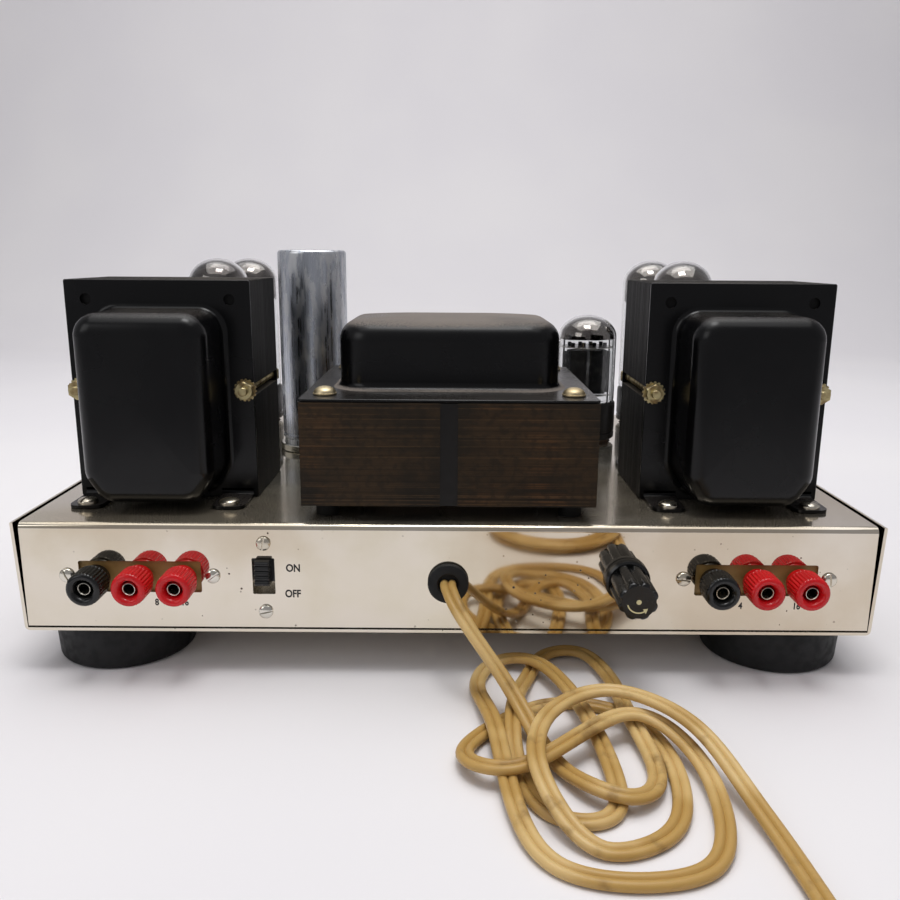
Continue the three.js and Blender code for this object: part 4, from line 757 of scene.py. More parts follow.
def plug_body():
    """Rounded rectangles of half width w and half height h at depth d, with d, w and h from a short table."""
    neck = np.linspace(0, PLUG_NECK, 21)
    groove = PLUG_GROOVE * (np.cos(neck / PLUG_NECK * 8 * pi) < 0)
    rows = np.vstack([np.column_stack([neck, 4.5 - groove, 3 - groove]),
                      [(8.6, 6.4, 3.9), (9.4, 8.3, 4.6), (10.6, 9.3, 4.95), (13, 9.5, 5), (18, 9, 4.7),
                       (23, 8.9, 4.6), (28, 9.2, 4.8), (33, 9.5, 5), (34.3, 9.5, 5), (35, 9, 4.5)]])
    return shell([raised(round_box(w, -h, h, min(w, h) * 0.82), d) for d, w, h in rows])


def blade(sign):
    """A flat blade with eased tip and the round hole near its end."""
    half = BLADE_WIDTH / 2
    start, end = PLUG_NECK + PLUG_BODY - 0.5, PLUG_NECK + PLUG_BODY + PLUG_BLADE
    outline = [(-half, start), (half, start), (half, end - 2), (half - 1.4, end), (1.4 - half, end),
               (-half, end - 2)]
    flat = prism(outline, -BLADE_SHEET / 2, BLADE_SHEET / 2, 0.2)
    drilled = carved(flat, [moved(cylinder(BLADE_HOLE, -2, 2), y=end - 4.2)])
    return moved(laid(drilled, (2, 0, 1)), sign * BLADE_SPACING / 2)


plug_parts = painted(black_plastic, plug_body()) + painted(nickel_small, blade(-1), blade(1))
plug = make("mains_plug", each(off_floor, each(out_of_panel, plug_parts)), "plug", PLUG_START)

# %% [markdown]
# ## Chassis
#
# The chassis is one plated sheet, bent down along the near and the far edge, with a plate let in at each
# end. A mirror finish shows every flaw in the surface, so the bends are fine arcs, and a narrow strip of
# flat surface beside each arc keeps the shading of the big faces flat. Holes are cut with exact booleans.

# %% The bent sheet with its holes
SHEET, BEND, STRIP = 1.2, 2.4, 0.3
SHEET_WIDER, SHEET_SHORTER = 0.6, 0.5
HALF = chassis_high.x / MM + SHEET_WIDER
DEPTH = (chassis_high.y - chassis_low.y) / MM
HEIGHT = (chassis_high.z - chassis_low.z) / MM - SHEET_SHORTER
POWER_MIDDLE, BOLT_X, BOLT_Y, BOLT_HOLE = 54.5, 48.45, 39.3, 2.7
TERMINALS_X, POST_SPACING, OPENING_Z, POST_Z = 120, 16.8, -21.7, -22
SWITCH_X, SWITCH_Z, FUSE_X, FUSE_Z = -71.9, -21.2, 69.5, -21.5
BUSHING_Z, JACK_X, JACK_Z = -23.2, 15, -21.5
SOCKET_HOLE, CAN_HOLE, FUSE_HOLE, BUSHING_HOLE, JACK_HOLE = 14.8, 13, 6.7, 6.5, 4.8
COIL_OPENING, BOARD_OPENING = ((-40.3, 30.9), (40.3, 78.1)), ((-40, 189), (40, 221))
THROUGH = 3
SOCKETS = [place_of(name) for name in slot_of if name.startswith("power_tube") or name == "rectifier_tube"]


def bent_section():
    """The sheet's outline in y and z: the outer line over both bends, then the inner line back."""
    near, far, turn = (BEND, -BEND), (DEPTH - BEND, -BEND), BEND - SHEET
    return np.vstack([
        [(0, -HEIGHT), (0, -BEND - STRIP)], arc(near, BEND, 180, 90, 10),
        [(BEND + STRIP, 0), (DEPTH - BEND - STRIP, 0)], arc(far, BEND, 90, 0, 10),
        [(DEPTH, -BEND - STRIP), (DEPTH, -HEIGHT), (DEPTH - SHEET, -HEIGHT), (DEPTH - SHEET, -BEND)],
        arc(far, turn, 0, 90, 5), [(DEPTH / 2, -SHEET)], arc(near, turn, 90, 180, 5), [(SHEET, -HEIGHT)]])


def bolt_holes(low, high, y=0):
    return [moved(cylinder(BOLT_HOLE, low, high), sx * BOLT_X, y + sy * BOLT_Y) for sx, sy in CORNERS]


def panel_hole(outline, x, z, y=0):
    return moved(out_of_panel(prism(outline, -THROUGH, THROUGH)), x, y, z)


def circle(radius, sides=ROUND_SIDES):
    return arc((0, 0), radius, 0, 360 * (1 - 1 / sides), sides - 1)


deck_holes = [(SOCKET_HOLE, place) for place in SOCKETS] + [(CAN_HOLE, place_of("filter_can"))]
cutters = [moved(cylinder(radius, -THROUGH, THROUGH, ROUND_SIDES), *place) for radius, place in deck_holes]
cutters += bolt_holes(-THROUGH, THROUGH, POWER_MIDDLE)
cutters += [block((*low, -THROUGH), (*high, THROUGH), 0) for low, high in (COIL_OPENING, BOARD_OPENING)]
cutters += [panel_hole(round_box(23.8, -6.4, 6.4, 0.9), sign * TERMINALS_X, OPENING_Z) for _, sign in SIDES]
cutters += [panel_hole(round_box(4.4, -7.4, 7.4, 0.5), SWITCH_X, SWITCH_Z),
            panel_hole(circle(FUSE_HOLE), FUSE_X, FUSE_Z), panel_hole(circle(BUSHING_HOLE), 0, BUSHING_Z)]
cutters += [panel_hole(circle(JACK_HOLE), sign * JACK_X, JACK_Z, DEPTH) for _, sign in SIDES]
bent_sheet = carved(across(bent_section(), (-HALF, HALF)), cutters)
end_plates = [block((low, SHEET, -HEIGHT), (low + SHEET, DEPTH - SHEET, -SHEET), 0)
              for low in (-HALF, HALF - SHEET)]
make("chassis_sheet", painted(nickel, bent_sheet, *end_plates), "chassis")

# %% [markdown]
# The bottom cover is a shallow tray. Its two side walls come up outside the chassis and lean out a little,
# and its near edge shows as a thin bright line under a dark gap. The feet are turned rubber, tapered, with a
# round lower edge and a hole below for their screw.

# %% The bottom cover and the feet
COVER_LOW, COVER_HALF, COVER_LEAN = -44.5, 167.1, 1.7
VENT_LENGTH, VENT_WIDTH, VENT_PITCH, VENT_ROW_Y = 44, 3.6, 20, 40


def tray_section():
    """The tray in x and z: down the left wall outside, along the bottom, up the right wall, back inside."""
    top, floor, wall = COVER_HALF + COVER_LEAN, COVER_LOW + SHEET, COVER_HALF - SHEET
    corners = [(-top, 0), (-COVER_HALF, COVER_LOW), (COVER_HALF, COVER_LOW), (top, 0), (top - SHEET, 0),
               (wall, floor), (-wall, floor), (SHEET - top, 0)]
    return rounded(corners, [0.3, 2, 2, 0.3, 0.3, 0, 0, 0.3])


def screw_head(radius, height, turn=0, slot=0.9):
    """A pan head: an ellipse in section with a short straight side, and one slot sawn across it."""
    crown = dome_line(radius, height * 0.35, height * 0.65, 8)
    head = turned(np.vstack([[(0, 0), (radius, 0)], crown]), SMALL_SIDES)
    saw = block((-radius * 2, -slot / 2, height * 0.45), (radius * 2, slot / 2, height * 2), 0)
    return twisted(carved(head, [saw]), turn)


def foot():
    """Half outline of the foot: screw hole, flat ring, quarter round, tapered wall, eased top."""
    profile = np.vstack([[(0, 5), (5, 5), (5, 0.7), (5.7, 0), (25, 0)], arc((25.1, 2.4), 2.4, -90, 0, 10),
                         [(27.55, 3), (28.4, 16.5)], arc((27.8, 16.9), 0.6, 0, 90, 4), [(0, 17.5)]])
    return turned(profile, 96)


tray = tray_section()
tray_rings = [np.column_stack([tray[:, 0], np.full(len(tray), y), tray[:, 1]]) for y in (0, DEPTH)]
vent_outline = round_box(VENT_WIDTH / 2, -VENT_LENGTH / 2, VENT_LENGTH / 2, VENT_WIDTH / 2)
vent = prism(vent_outline, COVER_LOW - 2, COVER_LOW + 4)
vents = [moved(vent, (i - 2.5) * VENT_PITCH, DEPTH / 2 + row * VENT_ROW_Y)
         for row in (-1, 1) for i in range(6)]
make("bottom_cover_tray", painted(nickel, carved(shell(tray_rings), vents)), "bottom_cover")
for side, _ in SIDES:
    for end, _ in ENDS:
        screw = moved(laid(screw_head(3.6, 2.2, 35), signs=(1, -1, -1)), z=5)
        parts = [(foot(), rubber), (screw, nickel_small)]
        name = f"foot_{side}_{end}"
        make(f"rubber_{name}", each(off_floor, parts), name, place_of(name))

# %% [markdown]
# ## Power transformer
#
# Its core is a pile of half-millimetre sheets that lie flat, and no two are cut to quite the same size. The
# pile is one surface: two rings per sheet, each drawn in by that sheet's own small amount. A black seam
# runs up the middle of the front, where the E and the I shapes meet.

# %% Stacks of sheets
SHEET_PITCH, SHEET_UNEVEN = 0.5, 0.11
CORE_HALF, CORE_DEEP, CORE_LOW, CORE_HIGH = 57.15, 50.5, 6.3, 46.8
CORE_LEG, WINDOW_HALF, ABOVE_CORE = 19.05, 21.4, 60
SEAM_HALF, SEAM_DEEP, SEAM_BAR, SEAM_SUNK = 3.4, 1.2, 0.45, 0.4
random = np.random.default_rng(8)


def pile(outline, inward, low, high):
    """Ring k of sheet n is the outline moved inwards by that sheet's own inset, at the sheet's two heights."""
    count = int(round((high - low) / SHEET_PITCH))
    inset = random.uniform(0, SHEET_UNEVEN, count) * random.choice([0.35, 1], count)
    inset[[0, -1]] = 0
    edges = np.linspace(low, high, count + 1)
    heights = np.stack([edges[:-1], edges[1:]], 1).ravel()
    drawn = np.asarray(outline, float)[None] + np.repeat(inset, 2)[:, None, None] * np.asarray(inward)[None]
    return shell(np.concatenate([drawn, np.broadcast_to(heights[:, None, None], (*drawn.shape[:2], 1))], 2))


seam_floor = CORE_DEEP - SEAM_DEEP
core_outline = [(-CORE_HALF, -CORE_DEEP), (-SEAM_HALF, -CORE_DEEP), (-SEAM_HALF, -seam_floor),
                (SEAM_HALF, -seam_floor), (SEAM_HALF, -CORE_DEEP), (CORE_HALF, -CORE_DEEP)]
core_inward = [(1, 1), (0, 1), (0, 0), (0, 0), (0, 1), (-1, 1)]
core_outline += [(-x, -y) for x, y in core_outline]
core_inward += [(-x, -y) for x, y in core_inward]
windows = [block((x, -WINDOW_HALF, 0), (x + CORE_LEG, WINDOW_HALF, ABOVE_CORE), 0)
           for x in (-2 * CORE_LEG, CORE_LEG)]
power_core = carved(pile(core_outline, core_inward, CORE_LOW, CORE_HIGH), windows + bolt_holes(0, ABOVE_CORE))
seams = [block((-SEAM_HALF, y - SEAM_BAR, CORE_LOW + 0.1), (SEAM_HALF, y + SEAM_BAR, CORE_HIGH - 0.1))
         for y in (-seam_floor - SEAM_SUNK, seam_floor + SEAM_SUNK)]
core_parts = painted(rusted_iron, power_core) + painted(bakelite, *seams)
make("power_laminations", core_parts, "power_core", (0, POWER_MIDDLE), sharp=20)

# %% [markdown]
# Bells are deep-drawn steel. A drawn bell has a small fillet where it leaves its flange, straight walls and
# a soft upper edge, so its shell is a pile of the same rounded outline with a changing inset. The flange of
# this one is a thin plate over the whole core.

# %% Drawn bells
PLATE_LOW, PLATE_HIGH = 47.1, 48.1
POWER_DOME = {"radius": 13, "height": 29, "edge": 8, "fillet": 3, "crown": 1.5}


def bell(corners, radius, height, edge, fillet, crown, steps=8):
    """Outline inset and height: a concave quarter round of the fillet, the wall, a quarter round of the edge.
    Over the face the outline shrinks to the middle by a share s and rises by the crown times 1 - s squared."""
    a = np.radians(np.linspace(0, 90, steps + 1))
    rim = height - crown
    foot_curve = np.column_stack([fillet * (np.sin(a) - 1), fillet * (1 - np.cos(a))])
    top_curve = np.column_stack([edge * (1 - np.cos(a)), rim - edge * (1 - np.sin(a))])
    rows = np.vstack([foot_curve, [(0, fillet + 0.4), (0, rim - edge - 0.4)], top_curve])
    rings = [raised(rounded(corners, [radius] * len(corners), inset, 10), z) for inset, z in rows]
    last = rings[-1][:, :2]
    middle = (last.min(0) + last.max(0)) / 2
    shares = np.linspace(1, 0.02, 14)[1:]
    return shell(rings + [raised(middle + (last - middle) * s, rim + crown * (1 - s ** 2)) for s in shares])


plate_outline = round_box(CORE_HALF, -CORE_DEEP, CORE_DEEP, 1.6)
plate = carved(prism(plate_outline, PLATE_LOW, PLATE_HIGH, 0.15), bolt_holes(40, ABOVE_CORE))
power_dome = moved(bell(rectangle(45, -28.5, 28.5), **POWER_DOME), z=PLATE_HIGH)
bell_parts = [(plate, enamel), (power_dome, dusty_enamel)]
make("power_transformer_bell", bell_parts, "power_bell", (0, POWER_MIDDLE))

# %% [markdown]
# Four long bolts hold the core: a domed head over a washer on top, a spacer between core and deck, and a hex
# nut under the deck. The outline of a hexagon is its flat distance over the cosine of the angle from the
# middle of the nearest flat.

# %% Nuts and bolts
def nut(flat, low, high, ease=0.4):
    """A hex nut, flat wide from centre to side, its faces turned down to a circle inside the corners."""
    def wave(angle, radius, height):
        nearest = (angle + pi / 6) % (pi / 3) - pi / 6
        return np.where(radius > flat * 0.999, flat / np.cos(nearest) - radius, 0)
    face = flat * 0.97
    profile = [(0, low), (face, low), (flat, low + ease), (flat, high - ease), (face, high), (0, high)]
    return turned(profile, 48, wave)


def threads(radius, low, high, pitch=0.7, deep=0.18):
    """A threaded end as a pile of rings: the radius swings between crest and root once for every pitch."""
    height = np.arange(low, high, pitch / 4)
    swing = radius - deep * (1 + np.cos(height / pitch * 2 * pi)) / 2
    line = np.vstack([[(0, low)], np.column_stack([swing, height]), [(radius - deep, high), (0, high)]])
    return turned(line, SMALL_SIDES)


def power_bolt():
    """Parts of one bolt, heights from the deck: domed head on its washer, spacer, shank, nut below."""
    washer, dome = [(0, 48.4), (4.6, 48.4), (4.6, 48.9), (4.35, 49)], dome_line(4.3, 49, 2.5, 10)[1:]
    return [(turned(np.vstack([washer, dome]), 48), zinc), (cylinder(4.6, 0.3, 6, 40), black_iron),
            (threads(2.35, -8, 48.5), zinc), (nut(4, -5.1, -1.5), zinc)]


for side, sx in SIDES:
    for end, sy in ENDS:
        make(f"core_bolt_{side}_{end}", power_bolt(), f"power_bolt_{side}_{end}",
             (sx * BOLT_X, POWER_MIDDLE + sy * BOLT_Y))

# %% [markdown]
# ## Output transformers
#
# These stand up: the sheets run across, and one bolt runs through a groove in each flank of the core. The
# core is the same kind of pile as before, laid on its side.

# %% Cores that stand up
OUT_HALF, OUT_LOW, OUT_HIGH, OUT_STACK = 37.6, 0.3, 90.8, 45
OUT_MIDDLE, OUT_X, OUT_BOLT_X, OUT_BOLT_Z = 61.3, 118.7, 34.2, 46.2
GROOVE_HALF, GROOVE_IN, OUT_LEG, OUT_WINDOW_HALF = 2.5, 31.7, 90.5 / 6, 22.6


def standing_core():
    """A pile with a groove in each flank, laid so that its sheets stand, and its two windows."""
    low, high = OUT_BOLT_Z - GROOVE_HALF, OUT_BOLT_Z + GROOVE_HALF
    groove = [(OUT_HALF, low), (GROOVE_IN, low), (GROOVE_IN, high), (OUT_HALF, high)]
    outline = [(-OUT_HALF, OUT_LOW), (OUT_HALF, OUT_LOW), *groove, (OUT_HALF, OUT_HIGH),
               (-OUT_HALF, OUT_HIGH)]
    outline += [(-x, z) for x, z in reversed(groove)]
    inward = [(1, 1), (-1, 1), (-1, 0), (0, 0), (0, 0), (-1, 0)]
    inward += [(-x, -z) for x, z in inward]
    middle = (OUT_LOW + OUT_HIGH) / 2
    windows = [block((-OUT_WINDOW_HALF, -40, base), (OUT_WINDOW_HALF, 40, base + OUT_LEG), 0)
               for base in (middle + OUT_LEG, middle - 2 * OUT_LEG)]
    return carved(out_of_panel(pile(outline, inward, -OUT_STACK / 2, OUT_STACK / 2)), windows)


print(f"each core is {OUT_STACK / SHEET_PITCH:.0f} sheets thick")

# %% [markdown]
# A black bell closes each side. Its flange ends below in two tabs that are bent forward and screwed to the
# deck, and two of its holes stay open. The bolt has a hex nut over a toothed washer at the near end.

# %% Flange, tabs and bell of one side, and its bolts
FLANGE_FACE, FLANGE_SHEET, FLANGE_HOLES = 24, 1.2, ((29.1, 83, 2.25), (OUT_BOLT_X, OUT_BOLT_Z, 2.2))
OUT_DOME = {"radius": 9, "height": 28.7, "edge": 7, "fillet": 2.4, "crown": 0.5}
BELL_CORNERS = [(-18.5, 4), (18.5, 4), (25.5, 15), (25.5, 79), (-25.5, 79), (-25.5, 15)]
TAB_X, TAB_HALF, TAB_REACH, TAB_SHEET, TAB_BEND, TAB_ROUND, TAB_SCREW = 28.9, 6.7, 19.2, 1.2, 1.4, 4, 14.8


def tab(sign):
    """A strip in y and z carried across: the flat tab with a quarter round up into the flange. Its two free
    corners are cut round."""
    top = OUT_LOW + TAB_SHEET
    path = np.vstack([[(-TAB_REACH, OUT_LOW), (1, OUT_LOW), (1, 4), (0, 4)],
                      arc((-TAB_BEND, top + TAB_BEND), TAB_BEND, 0, -90, 6), [(-TAB_REACH, top)]])
    left, right = sorted((sign * (TAB_X - TAB_HALF), sign * (TAB_X + TAB_HALF)))
    corners = []
    for x, inwards in ((left, 1), (right, -1)):
        corner = np.vstack([[(-6 * inwards, -6), (TAB_ROUND * inwards, -6), (TAB_ROUND * inwards, 0)],
                            arc((TAB_ROUND, TAB_ROUND), TAB_ROUND, 270, 180) * [inwards, 1],
                            [(-6 * inwards, TAB_ROUND)]])
        corners.append(moved(prism(corner, -2, 3), x, -TAB_REACH))
    return carved(across(path, (left, right)), corners)


def bell_side():
    """Flange with its holes, bell and tabs, looking along -Y from the middle of the transformer."""
    holes = [moved(cylinder(radius, FLANGE_FACE - 4, FLANGE_FACE + 4), sign * x, z)
             for _, sign in SIDES for x, z, radius in FLANGE_HOLES]
    outline = round_box(OUT_HALF, OUT_LOW, OUT_HIGH, 0.8)
    flange = carved(prism(outline, FLANGE_FACE - FLANGE_SHEET, FLANGE_FACE, 0.2), holes)
    dome = moved(bell(BELL_CORNERS, **OUT_DOME), z=FLANGE_FACE)
    tabs = [moved(tab(sign), y=-FLANGE_FACE) for _, sign in SIDES]
    return [out_of_panel(flange), out_of_panel(dome), *tabs]


def output_bolt():
    """One through bolt, along the way out of the panel from the middle: head, shank, nut, toothed washer."""
    seat, washer, height, tail = FLANGE_FACE + 0.3, 0.8, 3.2, 2.4
    flat, thread, star_radius = 3.55, 1.85, 4.75
    teeth = lambda angle, r, h: np.where(r > star_radius - 0.15, -0.5 * (np.sin(angle * 16) > 0), 0)
    top = seat + washer
    star = turned([(0, seat), (star_radius, seat), (star_radius, top), (0, top)], 192, teeth)
    return [nut(flat, -seat - height, -seat), threads(thread, -seat - 0.1, top + height + tail),
            nut(flat, top, top + height), star]


for side, sign in SIDES:
    here = (sign * OUT_X, OUT_MIDDLE)
    make(f"output_laminations_{side}", [(standing_core(), black_iron)], f"output_core_{side}", here, sharp=20)
    parts = painted(enamel, *bell_side())
    heads = [moved(screw_head(4, 2.5, 20 + 65 * (s + sign)), s * TAB_X, -FLANGE_FACE - TAB_SCREW, 1.5)
             for _, s in SIDES]
    parts += painted(nickel_small, *heads)
    make(f"output_bell_{side}_in_front", parts, f"output_bell_near_{side}", here)
    behind = each(laid, parts, (0, 1, 2), (-1, -1, 1))
    make(f"output_bell_{side}_behind", behind, f"output_bell_far_{side}", here)
    for rank, s in SIDES:
        bolt = each(out_of_panel, painted(brass, *output_bolt()), s * OUT_BOLT_X, OUT_BOLT_Z)
        make(f"through_bolt_{side}_{rank}", bolt, f"output_bolt_{side}_{rank}", here)

# %% [markdown]
# ## Filter can
#
# An impact-drawn aluminium can in a clamp ring: a rolled groove near its foot, a soft upper edge, and a flat
# top with a shallow ring pressed into it.

# %% The can
CAN_RADIUS, CAN_TOP = 17.5, 103.5


def can():
    """Half outline: stub through the deck, neck, rolled groove, long wall, round edge, pressed ring on top."""
    a = np.linspace(0, pi, 13)
    rolled = np.column_stack([CAN_RADIUS - 0.75 * np.sin(a), 8.2 + 1.5 * (1 - np.cos(a)) / 2])
    ring = np.column_stack([12.2 - 1.5 * (1 - np.cos(a)) / 2, CAN_TOP - 0.7 * np.sin(a)])
    low = [(0, -6.7), (12.4, -6.7), (12.4, 0.3), (16.6, 0.6), (16.8, 4.2), (16.8, 6.2), (17.5, 7)]
    edge = arc((CAN_RADIUS - 1.8, CAN_TOP - 1.8), 1.8, 0, 90)
    return turned(np.vstack([low, rolled, [(CAN_RADIUS, 10.5), (CAN_RADIUS, CAN_TOP - 2.2)], edge,
                             [(CAN_RADIUS - 2.4, CAN_TOP)], ring, [(0, CAN_TOP)]]), 96)


clamp_ring = turned([(16.9, 0.3), (18.8, 0.3), (19, 0.5), (19, 3.4), (18.7, 3.7), (17.2, 3.7), (16.9, 3.4),
                     (16.9, 0.3)], 96)
can_parts = [(can(), aluminium), (clamp_ring, nickel_small)]
make("filter_can_body", can_parts, "filter_can", place_of("filter_can"))

# %% [markdown]
# ## Tubes
#
# A tube is a thin bottle of glass on a dark moulded base, and its dome is lined with the getter's flash. The
# bottle is one closed surface: the profile goes up outside, over the dome, and down again inside.

# %% Bottle, base and flash of an octal tube
GLASS_WALL, BASE_HEIGHT = 0.9, 21
FLASH_GAP, FLASH_SKIN = 0.08, 0.12
BEAM_TUBE = {"radius": 16.1, "height": 96.7, "dome": 13.6, "half_x": 10, "half_y": 6.2, "drop": 9}
RECTIFIER = {"radius": 15.8, "height": 67.7, "dome": 12, "half_x": 11, "half_y": 6, "drop": 0.8}


def bottle(radius, height, dome, foot):
    inner, shoulder = radius - GLASS_WALL, height - dome
    outside = np.vstack([[(inner + 0.2, foot - 0.6), (radius - 0.2, foot), (radius, foot + 0.8),
                          (radius, shoulder - 1)], dome_line(radius, shoulder, dome, 14)])
    inside = np.vstack([[(inner, foot + 0.8), (inner, shoulder - 1)],
                        dome_line(inner, shoulder, dome - GLASS_WALL, 14)])[::-1]
    return turned(np.vstack([outside, inside, outside[:1]]), 72)


def flash(radius, height, dome, drop):
    """A skin just inside the dome. At angle a it runs from the pole to the shoulder and then down by the
    drop, which swings with the angle, so the flash ends in a wavy line as it does on a real tube."""
    over, down = np.linspace(0, pi / 2, 15), np.linspace(0, 1, 9)[1:]
    angle = np.linspace(0, 2 * pi, 72, endpoint=False)[None]
    fall = drop * (1 + 0.22 * np.sin(2 * angle + 0.7) + 0.10 * np.sin(5 * angle + 2))
    skins = []
    for inset in (FLASH_GAP, FLASH_GAP + FLASH_SKIN):
        r = (radius - GLASS_WALL - inset) * np.r_[np.sin(over), np.ones(8)][:, None]
        h = height - dome + (dome - GLASS_WALL - inset) * np.r_[np.cos(over), np.zeros(8)][:, None]
        h = h - fall * np.r_[np.zeros(15), down][:, None]
        skins.append(np.stack([r * np.cos(angle), r * np.sin(angle), h], -1))
    return skin_over(np.concatenate([skins[0], skins[1][::-1]]))


def octal_base():
    """Half outline: spigot, flat floor, a moulded ring, the wall, and the lip that holds the glass."""
    return turned([(0, -10.6), (3.3, -10.6), (3.9, -10), (3.9, 0), (16, 0), (16.6, 0.6), (16.6, 3),
                   (16.2, 3.4), (16.2, 4), (16.6, 4.4), (16.6, 18.6), (16.45, 19.6), (16, 20.3), (15.5, 20.6),
                   (0, 20.6)], 72)


def pins(count, ring, radius, length, skip=0):
    """Round-ended pins on a circle, from just above the base's floor downwards."""
    line = [(0, -length), (radius * 0.6, -length), (radius, -length + 1), (radius, 0.5), (0, 0.5)]
    angles = [2 * pi * (i + 0.5) / (count + skip) for i in range(count)]
    return [moved(turned(line, 16), ring * cos(a), ring * sin(a)) for a in angles]


print("an octal base has", len(octal_base()[1]), "faces")

# %% [markdown]
# The anode of a beam tube is a flattened dark can with a fin along each side. It hangs between two mica
# discs with toothed rims that brace it in the glass, with a row of pegs on the upper disc, and a ring on a
# stalk held the getter under the dome.

# %% Inside a tube
def disc(radius, height, thick=0.35, teeth=18):
    """A mica disc whose rim has small teeth."""
    notch = lambda angle, r, h: np.where(r > radius * 0.9, -0.7 * (np.cos(angle * teeth) > 0.3), 0)
    top = height + thick
    return turned([(0, height), (radius, height), (radius, top), (0, top)], teeth * 8, notch)


def rod(x, y, low, high, radius=0.45):
    return moved(cylinder(radius, low, high, 12), x, y)


def anode(half_x, half_y, low, high, fin=2.4):
    """A rounded box with a thin fin at each end, pressed ribs across it as small swings of the outline."""
    outline = round_box(half_x, -half_y, half_y, half_y * 0.9, 10)
    heights = np.linspace(low, high, 25)
    swell = 1 - 0.035 * (np.sin((heights - low) / (high - low) * 6 * pi) > 0.2)
    swell[[0, -1]] = 1
    fins = [block((start, -0.5, low + 0.5), (end, 0.5, high - 0.5), 0.1)
            for start, end in ((-half_x - fin, 1 - half_x), (half_x - 1, half_x + fin))]
    return [shell([raised(outline * s, h) for s, h in zip(swell, heights)])] + fins


def innards(low, high, radius, half_x, half_y, turn):
    """Anode, pegs, rods, stalk and getter ring between two heights, and the discs."""
    metal = anode(half_x, half_y, low + 1.5, high - 5)
    metal += [rod(x, y, high - 3.2, high - 1, 1.1) for x in (-9, -3, 3, 9) for y in (-3.5, 3.5)]
    metal += [rod(s * (half_x + 1.9), 0, low - 3, high + 2) for _, s in SIDES]
    metal += [rod(s * 3.2, 0, high, high + 5.5, 0.35) for _, s in SIDES]
    under, over = high + 5.2, high + 6.1
    metal += [turned([(3, under), (3.9, under), (3.9, over), (3, over), (3, under)], 32)]
    discs = [disc(radius, low + 0.5), disc(radius, high - 3.4)]
    return each(twisted, painted(anode_plate, *metal) + painted(mica, *discs), turn)


def octal_tube(node, name, radius, height, dome, half_x, half_y, drop, turn):
    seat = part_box(node)[1].z / MM - DECK - height
    parts = [(octal_base(), bakelite), (bottle(radius, height, dome, BASE_HEIGHT), glass),
             (flash(radius, height, dome, drop), getter)]
    parts += painted(nickel_small, *pins(8, ring=8.7, radius=1.15, length=11))
    parts += innards(BASE_HEIGHT + 3, height - dome - 2, radius - GLASS_WALL - 0.5, half_x, half_y, turn)
    make(name, parts, node, (*place_of(node), seat))


for number, corner in enumerate(("left_near", "left_far", "right_near", "right_far")):
    octal_tube(f"power_tube_{corner}", f"beam_tube_{corner}", turn=25 + 40 * number, **BEAM_TUBE)
octal_tube("rectifier_tube", "rectifier_bottle", turn=8, **RECTIFIER)

# %% [markdown]
# The two driver tubes are all glass: pins come straight out of the bottle, and the exhaust pip stands on top.

# %% Driver tubes
SMALL_RADIUS, SMALL_HEIGHT, SMALL_TIP, SMALL_DOME = 10.9, 48, 4, 6
SMALL_ANODE = {"half_x": 6, "half_y": 3.4, "low": 9, "high": 30, "fin": 1.2}
SMALL_DISC, SMALL_ROD_X, SMALL_TURN = 9.6, 7.2, 30


def small_bottle():
    """Up outside over a flat dome and the pointed pip, and a second surface inside."""
    top, inner = SMALL_HEIGHT - SMALL_TIP, SMALL_RADIUS - GLASS_WALL
    shoulder = top - SMALL_DOME
    pip = [(1.9, top - 0.1), (1.5, top + 1.2), (0.7, SMALL_HEIGHT - 0.5), (0, SMALL_HEIGHT)]
    outside = [(0, 0.3), (SMALL_RADIUS - 1.2, 0.3), (SMALL_RADIUS, 1.6), (SMALL_RADIUS, shoulder - 0.6)]
    outside = np.vstack([outside, dome_line(SMALL_RADIUS, shoulder, SMALL_DOME, 14)[:-2], pip])
    inside = [(0, 2), (inner - 1, 2), (inner, 3), (inner, shoulder - 0.6)]
    inside = np.vstack([inside, dome_line(inner, shoulder, SMALL_DOME - GLASS_WALL, 14)])[::-1]
    return turned(outside, 56), turned(inside, 56)


for side, _ in SIDES:
    node_name = f"driver_tube_{side}"
    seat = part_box(node_name)[1].z / MM - DECK - SMALL_HEIGHT
    parts = painted(glass, *small_bottle())
    parts += painted(getter, flash(SMALL_RADIUS, SMALL_HEIGHT - SMALL_TIP, SMALL_DOME, 2.5))
    parts += painted(nickel_small, *pins(9, ring=5, radius=0.5, length=5, skip=1))
    metal = anode(**SMALL_ANODE) + [rod(s * SMALL_ROD_X, 0, 3, 33, 0.3) for _, s in SIDES]
    parts += each(twisted, painted(anode_plate, *metal), SMALL_TURN)
    parts += painted(mica, *(disc(SMALL_DISC, height, 0.3, 12) for height in (7.5, 31)))
    make(f"small_tube_{side}", parts, node_name, (*place_of(node_name), seat))

# %% [markdown]
# ## Binding posts
#
# Each post is a hollow rod with a moulded nut on it. The nut is fluted for the fingers: its radius drops by
# a fraction of a millimetre thirty times round. The rod's end shows as a bright ring round a dark hole.

# %% Caps and rods
FLUTES, FLUTE_DEEP = 30, 0.38


